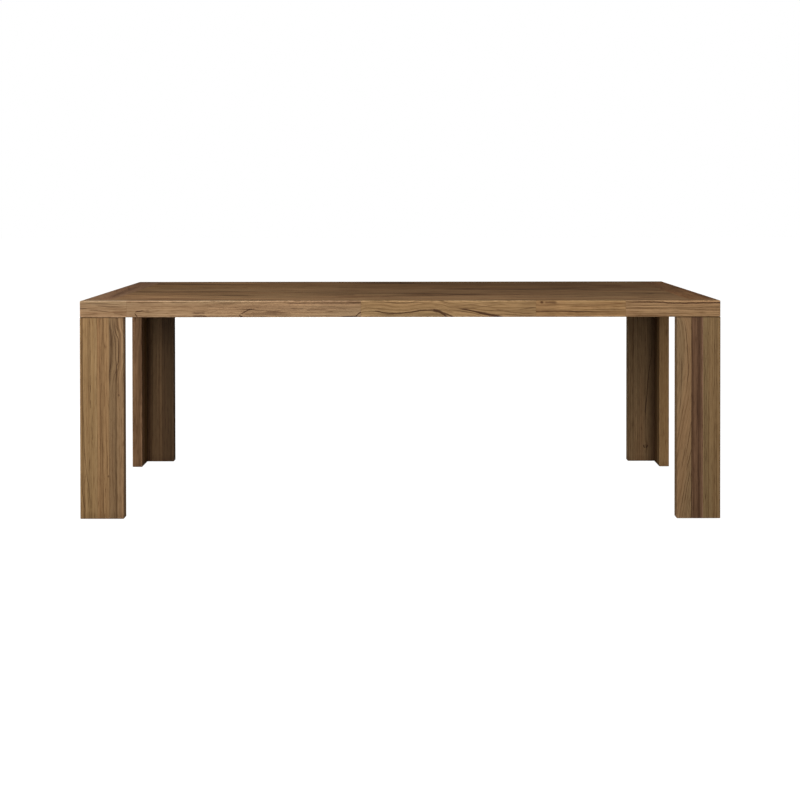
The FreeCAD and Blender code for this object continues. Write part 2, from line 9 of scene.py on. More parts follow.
import bpy
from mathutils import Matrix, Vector


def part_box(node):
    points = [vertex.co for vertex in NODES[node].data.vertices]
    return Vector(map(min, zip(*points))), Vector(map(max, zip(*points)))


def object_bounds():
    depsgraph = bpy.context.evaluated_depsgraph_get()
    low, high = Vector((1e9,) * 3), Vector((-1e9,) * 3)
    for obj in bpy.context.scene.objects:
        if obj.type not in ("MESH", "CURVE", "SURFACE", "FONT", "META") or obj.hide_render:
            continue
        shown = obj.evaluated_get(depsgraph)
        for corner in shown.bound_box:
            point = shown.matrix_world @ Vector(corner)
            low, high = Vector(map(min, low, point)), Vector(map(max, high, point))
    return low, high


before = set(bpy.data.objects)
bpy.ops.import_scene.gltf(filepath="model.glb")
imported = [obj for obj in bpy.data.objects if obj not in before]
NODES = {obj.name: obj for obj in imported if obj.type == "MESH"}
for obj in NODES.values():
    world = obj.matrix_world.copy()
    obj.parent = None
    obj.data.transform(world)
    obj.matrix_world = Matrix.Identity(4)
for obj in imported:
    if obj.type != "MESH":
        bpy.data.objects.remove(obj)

CAD_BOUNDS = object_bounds()
TABLE_LOW, TABLE_HIGH = CAD_BOUNDS
LEGS = ("front_left", "front_right", "rear_left", "rear_right")
STAVES = ("outer", "middle", "inner")
X, Y, Z = range(3)


# Shader trees

WHITE = (1.0, 1.0, 1.0, 1.0)
# Places of the colour sockets on a Mix node
MIX_FACTOR = 0
MIX_FIRST = 6
MIX_SECOND = 7
MIX_RESULT = 2
# The middle of a noise's range
NOISE_MIDDLE = 0.5
# The narrowest range that a number is scaled by
LEAST_SPAN = 1e-6


class Graph:
    """A shader tree, with short calls for the nodes that the finishes use."""

    def __init__(self, tree):
        self.tree = tree

    def node(self, kind, **settings):
        """A new node with some of its settings."""
        node = self.tree.nodes.new(kind)
        for name, setting in settings.items():
            setattr(node, name, setting)
        return node

    def feed(self, socket, source):
        """Link an input to an output, or give it a plain value."""
        if isinstance(source, bpy.types.NodeSocket):
            self.tree.links.new(source, socket)
        else:
            socket.default_value = source

    def math(self, operation, *terms):
        """Arithmetic on numbers."""
        node = self.node("ShaderNodeMath", operation=operation)
        for socket, term in zip(node.inputs, terms):
            self.feed(socket, term)
        return node.outputs[0]

    def total(self, *terms):
        """The sum of several numbers."""
        result = terms[0]
        for term in terms[1:]:
            result = self.math("ADD", result, term)
        return result

    def vector(self, operation, *terms):
        """Arithmetic on vectors and colours."""
        node = self.node("ShaderNodeVectorMath", operation=operation)
        for socket, term in zip(node.inputs, terms):
            self.feed(socket, term)
        return node.outputs["Value" if operation in ("LENGTH", "DOT_PRODUCT") else "Vector"]

    def parts(self, vector):
        """The three numbers of a vector."""
        node = self.node("ShaderNodeSeparateXYZ")
        self.feed(node.inputs[0], vector)
        return list(node.outputs)

    def joined(self, numbers):
        """A vector of three numbers."""
        node = self.node("ShaderNodeCombineXYZ")
        for socket, number in zip(node.inputs, numbers):
            self.feed(socket, number)
        return node.outputs[0]

    def noise(self, place, detail=2.0, roughness=0.5):
        """Smooth noise with about one wave per unit, as a number and as a colour."""
        node = self.node("ShaderNodeTexNoise")
        self.feed(node.inputs["Vector"], place)
        node.inputs["Scale"].default_value = 1.0
        node.inputs["Detail"].default_value = detail
        node.inputs["Roughness"].default_value = roughness
        return node.outputs[0], node.outputs["Color"]

    def line_noise(self, number, detail=2.0):
        """Smooth noise along one number."""
        node = self.node("ShaderNodeTexNoise", noise_dimensions="1D")
        self.feed(node.inputs["W"], number)
        node.inputs["Scale"].default_value = 1.0
        node.inputs["Detail"].default_value = detail
        return node.outputs[0]

    def fade(self, number, start, finish):
        """A smooth step: 0 at start and 1 at finish."""
        node = self.node("ShaderNodeMapRange", interpolation_type="SMOOTHSTEP")
        self.feed(node.inputs["Value"], number)
        self.feed(node.inputs["From Min"], start)
        self.feed(node.inputs["From Max"], finish)
        return node.outputs["Result"]

    def remap(self, number, from_range, to_range):
        """A straight change of range, held at its ends."""
        node = self.node("ShaderNodeMapRange")
        self.feed(node.inputs["Value"], number)
        for name, limit in zip(("From Min", "From Max", "To Min", "To Max"), (*from_range, *to_range)):
            node.inputs[name].default_value = limit
        return node.outputs["Result"]

    def ramp(self, number, stops):
        """A colour that runs through stops of place and colour."""
        node = self.node("ShaderNodeValToRGB")
        self.feed(node.inputs[0], number)
        elements = node.color_ramp.elements
        while len(elements) < len(stops):
            elements.new(0.5)
        for element, (place, colour) in zip(elements, stops):
            element.position = place
            element.color = (*colour, 1.0)
        return node.outputs["Color"]

    def mix(self, factor, first, second):
        """One colour that gives way to another."""
        node = self.node("ShaderNodeMix", data_type="RGBA")
        self.feed(node.inputs[MIX_FACTOR], factor)
        self.feed(node.inputs[MIX_FIRST], first)
        self.feed(node.inputs[MIX_SECOND], second)
        return node.outputs[MIX_RESULT]

    def dim(self, colour, factor, tint):
        """A colour multiplied by a tint, as far as the factor goes."""
        return self.vector("MULTIPLY", colour, self.mix(factor, WHITE, (*tint, 1.0)))

    def bump(self, height, strength, distance):
        """A surface direction that follows a height."""
        node = self.node("ShaderNodeBump")
        node.inputs["Strength"].default_value = strength
        node.inputs["Distance"].default_value = distance
        self.feed(node.inputs["Height"], height)
        return node.outputs["Normal"]

    def path(self, run, points):
        """A height that follows a smooth line through given points of run and height."""
        runs, heights = zip(*points)
        run_range = (min(runs), max(runs))
        height_range = (min(heights), max(heights))
        node = self.node("ShaderNodeFloatCurve")
        curve = node.mapping.curves[0]
        while len(curve.points) < len(points):
            curve.points.new(0.5, 0.5)
        for handle, (along, height) in zip(curve.points, points):
            handle.location = (share(along, run_range), share(height, height_range))
        node.mapping.update()
        self.feed(node.inputs["Value"], self.remap(run, run_range, (0.0, 1.0)))
        return self.remap(node.outputs[0], (0.0, 1.0), height_range)


def share(number, limits):
    """Where a number lies between two limits, from 0 to 1."""
    return (number - limits[0]) / max(limits[1] - limits[0], LEAST_SPAN)


def new_group(name, inputs, outputs):
    """A node group with named sockets; its graph, the sockets it reads and those it fills."""
    tree = bpy.data.node_groups.new(name, "ShaderNodeTree")
    for label, kind in inputs.items():
        tree.interface.new_socket(label, in_out="INPUT", socket_type=f"NodeSocket{kind}")
    for label, kind in outputs.items():
        tree.interface.new_socket(label, in_out="OUTPUT", socket_type=f"NodeSocket{kind}")
    graph = Graph(tree)
    inlet = graph.node("NodeGroupInput").outputs
    outlet = graph.node("NodeGroupOutput").inputs
    return graph, inlet, outlet


def new_material(name):
    """A material with a single shader; its graph and that shader."""
    material = bpy.data.materials.new(name)
    material.use_nodes = True
    shader = material.node_tree.nodes["Principled BSDF"]
    return material, Graph(material.node_tree), shader


def dress(name, material):
    """Give a node of the frame its finish."""
    for slot in NODES[name].material_slots:
        slot.material = material


# Teak

def edge_group():
    """How far a point on a box's surface lies from the nearest edge of that box."""
    graph, inlet, outlet = new_group(
        "edge_distance",
        {"Place": "Vector", "Centre": "Vector", "Half": "Vector"},
        {"Distance": "Float"},
    )
    from_centre = graph.vector("ABSOLUTE", graph.vector("SUBTRACT", inlet["Place"], inlet["Centre"]))
    a, b, c = graph.parts(graph.vector("SUBTRACT", inlet["Half"], from_centre))
    least = graph.math("MINIMUM", graph.math("MINIMUM", a, b), c)
    most = graph.math("MAXIMUM", graph.math("MAXIMUM", a, b), c)
    both = graph.math("ADD", least, most)
    graph.feed(outlet["Distance"], graph.math("SUBTRACT", graph.total(a, b, c), both))
    return graph.tree


# Noise layers as waves per metre along and across the grain, detail and roughness
WANDER_LAYER = (1.5, 8.0, 2.0, 0.5)
RIPPLE_LAYER = (10.0, 60.0, 2.0, 0.5)
PATCH_LAYER = (6.0, 20.0, 3.0, 0.6)
STREAK_LAYER = (2.4, 150.0, 5.0, 0.62)
LINE_LAYER = (4.0, 150.0, 3.0, 0.65)
DASH_LAYER = (22.0, 330.0, 2.0, 0.5)
FIBRE_LAYER = (9.0, 700.0, 3.0, 0.6)
PORE_LAYER = (45.0, 1300.0, 1.0, 0.5)
HUE_LAYER = (1.8, 14.0, 2.0, 0.5)
# How far slow and quick waves push the rings aside
WANDER_REACH = 0.03
RIPPLE_REACH = 0.003
# The rings' uneven spacing and the broad bands, in waves per ring, and how many rings the spacing strays
UNEVEN_WAVES = 0.55
BAND_WAVES = 0.16
UNEVEN_REACH = 2.4
# How rare strong rings are, the faintest one's strength, and where in a ring late wood darkens and ends
RING_RARITY = 1.6
FAINTEST_RING = 0.15
LATE_RISE = (0.25, 0.9)
LATE_FALL = (1.0, 0.93)
# Where in its noise a mark begins and where it is full
LINE_RANGE = (0.55, 0.68)
DASH_RANGE = (0.58, 0.75)
PORE_RANGE = (0.6, 0.72)
HUE_RANGE = (0.35, 0.65)
# The plain wood's tone, and what its layers add to it
PLAIN_TONE = 0.54
STREAK_TONE = 0.9
FIBRE_TONE = 0.45
DASH_TONE = -0.35
# The plain wood's roughness, and what its layers add to it
PLAIN_ROUGHNESS = 0.56
PATCH_ROUGHNESS = -0.16
STREAK_ROUGHNESS = 0.18
PORE_ROUGHNESS = 0.15
END_ROUGHNESS = 0.12
WEAR_ROUGHNESS = -0.1
# What the layers add to the surface's height, as shares of its relief
STREAK_HEIGHT = 0.5
FIBRE_HEIGHT = 0.35
PORE_HEIGHT = -0.6
RING_HEIGHT = 0.25
VEIN_HEIGHT = -0.4
SEAM_HEIGHT = -0.8
# Tones of the wood as shares of a piece's own colour, from its darkest lines to its palest
TONES = (
    (0.0, (0.22, 0.17, 0.13)),
    (0.28, (0.58, 0.53, 0.48)),
    (0.52, (1.0, 1.0, 1.0)),
    (0.78, (1.28, 1.29, 1.3)),
    (1.0, (1.5, 1.55, 1.6)),
)
RED_TINT = (1.03, 0.985, 0.93)
OLIVE_TINT = (0.98, 1.01, 0.98)
LINE_TINT = (0.66, 0.58, 0.52)
DASH_TINT = (0.66, 0.6, 0.56)
PORE_TINT = (0.62, 0.56, 0.52)
# Colour of veins, and of painted shade drawn in the same way
VEIN_AND_SHADE_TINT = (0.22, 0.15, 0.12)
KNOT_TINT = (0.22, 0.15, 0.11)
END_TINT = (0.66, 0.61, 0.57)
# Colour of worn edges, partly a painted highlight
WEAR_AND_HIGHLIGHT_TINT = (1.53, 1.61, 1.8)
# Colour of seams, also of painted shade at the legs' upper ends and of their darker lower ends
SEAM_AND_SHADE_TINT = (0.5, 0.46, 0.43)


def teak_group():
    """Solid teak in board coordinates: along the grain, across the face and through the thickness."""
    graph, inlet, outlet = new_group(
        "teak",
        {
            "Place": "Vector", "Seed": "Vector", "Pith": "Vector", "Lean": "Vector", "Ring": "Float",
            "Figure": "Float", "Mottle": "Float", "Streaks": "Float", "Stretch": "Float", "VeinAndShade": "Float",
            "Knot": "Float", "End": "Float", "WearAndHighlight": "Float", "Seam": "Float", "Shade": "Color",
        },
        {"Colour": "Color", "Roughness": "Float", "Height": "Float"},
    )
    place = inlet["Place"]
    run, level, depth = graph.parts(place)
    stretched = graph.joined([graph.math("DIVIDE", run, inlet["Stretch"]), level, depth])
    long_place = graph.vector("ADD", stretched, inlet["Seed"])
    fine_place = graph.vector("ADD", place, inlet["Seed"])
    seed_x, seed_y, _ = graph.parts(inlet["Seed"])

    def grain(layer, where=long_place):
        """A noise layer drawn out along the grain, as a number and as a colour."""
        along, across, detail, roughness = layer
        return graph.noise(graph.vector("MULTIPLY", where, (along, across, across)), detail, roughness)

    def swing(number, reach):
        """Noise about zero, with a reach."""
        return graph.math("MULTIPLY", graph.math("SUBTRACT", number, NOISE_MIDDLE), reach)

    # Growth rings about a pith line that leans and wanders
    past = graph.math("SUBTRACT", run, graph.parts(inlet["Pith"])[0])
    lean = graph.vector("MULTIPLY", past, inlet["Lean"])
    away = graph.vector("SUBTRACT", graph.vector("SUBTRACT", place, inlet["Pith"]), lean)
    for layer, reach in ((WANDER_LAYER, WANDER_REACH), (RIPPLE_LAYER, RIPPLE_REACH)):
        push = graph.vector("SUBTRACT", grain(layer)[1], (NOISE_MIDDLE,) * 3)
        away = graph.vector("MULTIPLY_ADD", push, (0.0, reach, reach), away)
    radius = graph.vector("LENGTH", graph.vector("MULTIPLY", away, (0.0, 1.0, 1.0)))
    turns = graph.math("DIVIDE", radius, inlet["Ring"])
    uneven = graph.line_noise(graph.math("MULTIPLY_ADD", turns, UNEVEN_WAVES, seed_x))
    counted = graph.math("ADD", turns, swing(uneven, UNEVEN_REACH))
    phase = graph.math("FRACT", counted)
    year = graph.math("ADD", graph.math("FLOOR", counted), seed_x)
    chance = graph.node("ShaderNodeTexWhiteNoise", noise_dimensions="1D")
    graph.feed(chance.inputs["W"], year)
    rare = graph.math("POWER", chance.outputs["Value"], RING_RARITY)
    strength = graph.math("MULTIPLY_ADD", rare, 1.0 - FAINTEST_RING, FAINTEST_RING)
    late = graph.math("MULTIPLY", graph.fade(phase, *LATE_RISE), graph.fade(phase, *LATE_FALL))
    ring = graph.math("MULTIPLY", late, strength)

    # Bands, patches, streaks, fine lines and fibres
    band = graph.line_noise(graph.math("MULTIPLY_ADD", turns, BAND_WAVES, seed_y))
    patch = grain(PATCH_LAYER)[0]
    streak = grain(STREAK_LAYER)[0]
    line = graph.math("MULTIPLY", graph.fade(grain(LINE_LAYER)[0], *LINE_RANGE), inlet["Streaks"])
    fibre = grain(FIBRE_LAYER, fine_place)[0]
    dash_noise = grain(DASH_LAYER, fine_place)[0]
    dash = graph.fade(dash_noise, *DASH_RANGE)
    pore_noise = grain(PORE_LAYER, fine_place)[0]
    pore = graph.math("MULTIPLY", graph.fade(pore_noise, *PORE_RANGE), graph.math("SUBTRACT", 1.0, late))
    mottle = graph.math("MULTIPLY", graph.total(patch, band, -2 * NOISE_MIDDLE), inlet["Mottle"])
    tone = graph.total(
        PLAIN_TONE, mottle, graph.math("MULTIPLY", swing(streak, STREAK_TONE), inlet["Streaks"]),
        swing(fibre, FIBRE_TONE), swing(dash_noise, DASH_TONE),
        graph.math("MULTIPLY", ring, graph.math("MULTIPLY", inlet["Figure"], -1.0)),
    )

    colour = graph.vector("MULTIPLY", graph.ramp(tone, TONES), inlet["Shade"])
    hue = graph.fade(grain(HUE_LAYER)[0], *HUE_RANGE)
    colour = graph.vector("MULTIPLY", colour, graph.mix(hue, (*OLIVE_TINT, 1.0), (*RED_TINT, 1.0)))
    marks = (
        (line, LINE_TINT), (dash, DASH_TINT), (pore, PORE_TINT), (inlet["VeinAndShade"], VEIN_AND_SHADE_TINT),
        (inlet["Knot"], KNOT_TINT), (inlet["End"], END_TINT), (inlet["WearAndHighlight"], WEAR_AND_HIGHLIGHT_TINT),
        (inlet["Seam"], SEAM_AND_SHADE_TINT),
    )
    for mark, tint in marks:
        colour = graph.dim(colour, mark, tint)
    graph.feed(outlet["Colour"], colour)

    roughness = graph.total(
        PLAIN_ROUGHNESS, swing(patch, PATCH_ROUGHNESS), swing(streak, STREAK_ROUGHNESS),
        graph.math("MULTIPLY", pore, PORE_ROUGHNESS), graph.math("MULTIPLY", inlet["End"], END_ROUGHNESS),
        graph.math("MULTIPLY", inlet["WearAndHighlight"], WEAR_ROUGHNESS),
    )
    graph.feed(outlet["Roughness"], roughness)
    heights = (
        (streak, STREAK_HEIGHT), (fibre, FIBRE_HEIGHT), (pore, PORE_HEIGHT), (ring, RING_HEIGHT),
        (inlet["VeinAndShade"], VEIN_HEIGHT), (inlet["Seam"], SEAM_HEIGHT),
    )
    relief = graph.total(*(graph.math("MULTIPLY", layer, height) for layer, height in heights))
    graph.feed(outlet["Height"], relief)
    return graph.tree


EDGES = edge_group()
TEAK = teak_group()
SEED_REACH = 50.0
# Reach of dark seams round a piece, of painted shade at the joint over a leg, of a darker lower end and
# of a worn edge with its painted highlight
SEAM_WIDTH = 0.0006
JOINT_SHADE_DEPTH = 0.0045
FOOT_DARK_HEIGHT = 0.035
EDGE_WEAR_AND_HIGHLIGHT_WIDTH = 0.006
# Worn edges and their painted highlight come and go with a noise: its waves per metre, its detail and
# where in it they show
SCUFF_WAVES = 60.0
SCUFF_DETAIL = 3.0
SCUFF_RANGE = (0.25, 0.6)
# How squarely a face crosses the grain where end grain begins and where it is full
END_FACING = (0.6, 0.95)
RELIEF = 0.00025
RELIEF_STRENGTH = 0.6
OIL_SHEEN = 0.08
# A knot's parted grain and dark core, in radii along and across
KNOT_PART = (3.2, 1.7)
KNOT_CORE = (1.1, 0.8)
# How far a knot pushes the grain, and where on its core the dark begins and is full
KNOT_PUSH = 0.7
KNOT_RANGE = (0.15, 0.75)
# Slow and quick wavering of veins, in waves per metre and in reach
VEIN_WAVES = (45.0, 260.0)
VEIN_WOBBLE = (0.003, 0.0012)
# The share of its length that a vein tapers in at each end, its width there and how its sides fade
VEIN_TAPER_SHARE = 0.25
VEIN_TIP = 0.3
VEIN_FADE = (1.0, 0.3)


def middle(low, high):
    """The centre of a box."""
    return (low + high) / 2


def edge_distance(graph, place, low, high):
    """The distance from the edges of a box, as a number."""
    node = graph.node("ShaderNodeGroup", node_tree=EDGES)
    graph.feed(node.inputs["Place"], place)
    node.inputs["Centre"].default_value = middle(low, high)
    node.inputs["Half"].default_value = (high - low) / 2
    return node.outputs["Distance"]


def bulge(graph, along, across, centre, reach):
    """A round hump of height 1 about a centre in the board's face."""
    spans = [
        graph.math("DIVIDE", graph.math("SUBTRACT", number, place), size)
        for number, place, size in zip((along, across), centre, reach)
    ]
    squares = [graph.math("MULTIPLY", span, span) for span in spans]
    return graph.math("EXPONENT", graph.math("MULTIPLY", graph.total(*squares), -1.0))


def knot_marks(graph, along, across, knots):
    """How far knots push the grain aside, and how dark they are."""
    push, dark = 0.0, 0.0
    for u, v, radius, depth in knots:
        hump = bulge(graph, along, across, (u, v), [radius * size for size in KNOT_PART])
        side = graph.math("SUBTRACT", across, v)
        push = graph.math("MULTIPLY_ADD", graph.math("MULTIPLY", hump, side), KNOT_PUSH, push)
        core = bulge(graph, along, across, (u, v), [radius * size for size in KNOT_CORE])
        dark = graph.math("MULTIPLY_ADD", graph.fade(core, *KNOT_RANGE), depth, dark)
    return push, dark


def vein_marks(graph, place, along, across, veins):
    """Lines along the grain, each with a half width, a depth of tone and the points it goes through."""
    if not veins:
        return 0.0
    wobble = 0.0
    for waves, reach in zip(VEIN_WAVES, VEIN_WOBBLE):
        noise = graph.noise(graph.vector("MULTIPLY", place, (waves,) * 3))[0]
        wobble = graph.math("MULTIPLY_ADD", graph.math("SUBTRACT", noise, NOISE_MIDDLE), reach, wobble)
    wavering = graph.math("ADD", across, wobble)
    dark = 0.0
    for width, depth, points in veins:
        start, finish = points[0][0], points[-1][0]
        soft = VEIN_TAPER_SHARE * (finish - start)
        opening = graph.fade(along, start, start + soft)
        closing = graph.fade(along, finish, finish - soft)
        taper = graph.math("MULTIPLY", opening, closing)
        gap = graph.math("ABSOLUTE", graph.math("SUBTRACT", wavering, graph.path(along, points)))
        reach = graph.math("MULTIPLY_ADD", taper, width * (1.0 - VEIN_TIP), width * VEIN_TIP)
        line = graph.fade(graph.math("DIVIDE", gap, reach), *VEIN_FADE)
        mark = graph.math("MULTIPLY", graph.math("MULTIPLY", line, taper), depth)
        dark = graph.math("MAXIMUM", dark, mark)
    return dark


def teak(name, axes, shade, free_box, pith=(0.2, 0.08), lean=(0.0, 0.0), ring=0.005, figure=0.35,
         mottle=0.25, streaks=1.0, stretch=1.0, flow=None, veins=(), pale=(), knots=(), painted_shade_lines=(),
         wear_and_highlight=1.0, tree=1, end_darkening=False, foot_dark=0.0):
    """Finish a piece in teak.

    axes: the table's axes along the grain, across the face and through the thickness
    shade: the piece's own colour
    free_box: the corners of the board that the piece is part of, whose edges are worn and given a painted
    highlight
    pith, lean: where the tree's heart lies from the piece's middle, and its slope, across and through
    ring, figure: the rings' spacing, and how dark they are
    mottle, streaks, stretch: how strong its patches and its streaks are, and how long its streaks
    flow: a line in the face that the grain follows
    veins, pale: dark lines in the face, and pale ones drawn in the same way, some of them painted
    highlights
    knots: marks that part the grain, as place along and across, radius and depth of tone
    painted_shade_lines: lines along the grain about which shade is painted in the wood's colour, as
    place across and through, where the dark is full and where it ends, and depth of tone
    wear_and_highlight: how far the free edges are rubbed pale, partly as a painted highlight
    tree: another number gives the piece another grain
    end_darkening: whether the upper end gets painted shade at its joint, and the lower end may darken
    foot_dark: how much darker the lower end is
    """
    material, graph, shader = new_material(f"{name}_teak")
    low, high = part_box(name)
    centre = middle(low, high)
    position = graph.node("ShaderNodeTexCoord").outputs["Object"]
    along, across, through = [graph.parts(position)[axis] for axis in axes]
    wood = graph.node("ShaderNodeGroup", node_tree=TEAK)
    inlet = wood.inputs
    draw = random.Random(f"{name} {tree}")
    settings = {
        "Seed": [draw.uniform(0.0, SEED_REACH) for _ in axes],
        "Pith": (centre[axes[0]], centre[axes[1]] + pith[0], centre[axes[2]] + pith[1]),
        "Lean": (0.0, *lean), "Ring": ring, "Figure": figure, "Mottle": mottle, "Streaks": streaks,
        "Stretch": stretch, "Shade": (*shade, 1.0),
    }
    for label, setting in settings.items():
        inlet[label].default_value = setting

    push, dark = knot_marks(graph, along, across, knots)
    if flow:
        rise = graph.math("SUBTRACT", graph.path(along, flow), centre[axes[1]])
        push = graph.math("ADD", rise, push)
    level = graph.math("SUBTRACT", across, push)
    graph.feed(inlet["Place"], graph.joined([along, level, through]))
    graph.feed(inlet["Knot"], dark)
    marks = vein_marks(graph, position, along, across, veins)
    # Painted shade about lines along the grain, such as a leg's inner corner
    for line_across, line_through, full, finish, depth in painted_shade_lines:
        beside = graph.math("SUBTRACT", across, line_across)
        behind = graph.math("SUBTRACT", through, line_through)
        gap = graph.vector("LENGTH", graph.joined([0.0, beside, behind]))
        line_shade = graph.math("MULTIPLY", graph.fade(gap, finish, full), depth)
        marks = graph.math("MAXIMUM", marks, line_shade)
    # Veins and painted shade darken the wood through one input
    graph.feed(inlet["VeinAndShade"], marks)

    grain_axis = [0.0, 0.0, 0.0]
    grain_axis[axes[0]] = 1.0
    normal = graph.node("ShaderNodeNewGeometry").outputs["Normal"]
    facing = graph.math("ABSOLUTE", graph.vector("DOT_PRODUCT", normal, grain_axis))
    graph.feed(inlet["End"], graph.fade(facing, *END_FACING))
    scuff = graph.noise(graph.vector("MULTIPLY", position, (SCUFF_WAVES,) * 3), SCUFF_DETAIL)[0]
    # Edges rubbed pale, partly a painted highlight where light catches them
    edge_band = graph.fade(edge_distance(graph, position, *free_box), EDGE_WEAR_AND_HIGHLIGHT_WIDTH, 0.0)
    edge_strength = graph.math("MULTIPLY", graph.fade(scuff, *SCUFF_RANGE), wear_and_highlight)
    light = vein_marks(graph, position, along, across, pale)
    graph.feed(inlet["WearAndHighlight"], graph.math("MAXIMUM", graph.math("MULTIPLY", edge_band, edge_strength), light))
    seam_and_shade = graph.fade(edge_distance(graph, position, low, high), SEAM_WIDTH, 0.0)
    if end_darkening:
        top, foot = high[axes[0]], low[axes[0]]
        # Painted shade at the leg's upper end, where it meets the rail
        joint_shade = graph.fade(along, top - JOINT_SHADE_DEPTH, top)
        # Darker towards the lower end
        foot_darkened = graph.math("MULTIPLY", graph.fade(along, foot + FOOT_DARK_HEIGHT, foot), foot_dark)
        seam_and_shade = graph.math("MAXIMUM", joint_shade, graph.math("MAXIMUM", seam_and_shade, foot_darkened))
    graph.feed(inlet["Seam"], seam_and_shade)

    graph.feed(shader.inputs["Base Color"], wood.outputs["Colour"])
    graph.feed(shader.inputs["Roughness"], wood.outputs["Roughness"])
    graph.feed(shader.inputs["Normal"], graph.bump(wood.outputs["Height"], RELIEF_STRENGTH, RELIEF))
    shader.inputs["Specular IOR Level"].default_value = OIL_SHEEN
    dress(name, material)


def joined_box(names):
    """The lowest and highest corners of several nodes together."""
    lows, highs = zip(*(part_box(name) for name in names))
    low = Vector([min(corner[axis] for corner in lows) for axis in (X, Y, Z)])
    high = Vector([max(corner[axis] for corner in highs) for axis in (X, Y, Z)])
    return low, high


def toned(colour, factor):
    """A colour made lighter or darker."""
    return tuple(channel * factor for channel in colour)


BROWN = (0.235, 0.143, 0.072)
REDDISH = (0.238, 0.138, 0.068)
OLIVE = (0.228, 0.142, 0.066)
DUSTY = (0.226, 0.142, 0.077)
HONEY = (0.235, 0.14, 0.063)
UMBER = (0.238, 0.13, 0.056)
RUSSET = (0.236, 0.135, 0.064)
SLAB = (Vector((TABLE_LOW.x, TABLE_LOW.y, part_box("front_rail_1")[0].z)), TABLE_HIGH.copy())
# The legs' upper ends stand in joints, so their worn, highlighted edges are looked for on a longer box
EDGE_BOX_CLEAR = 0.1

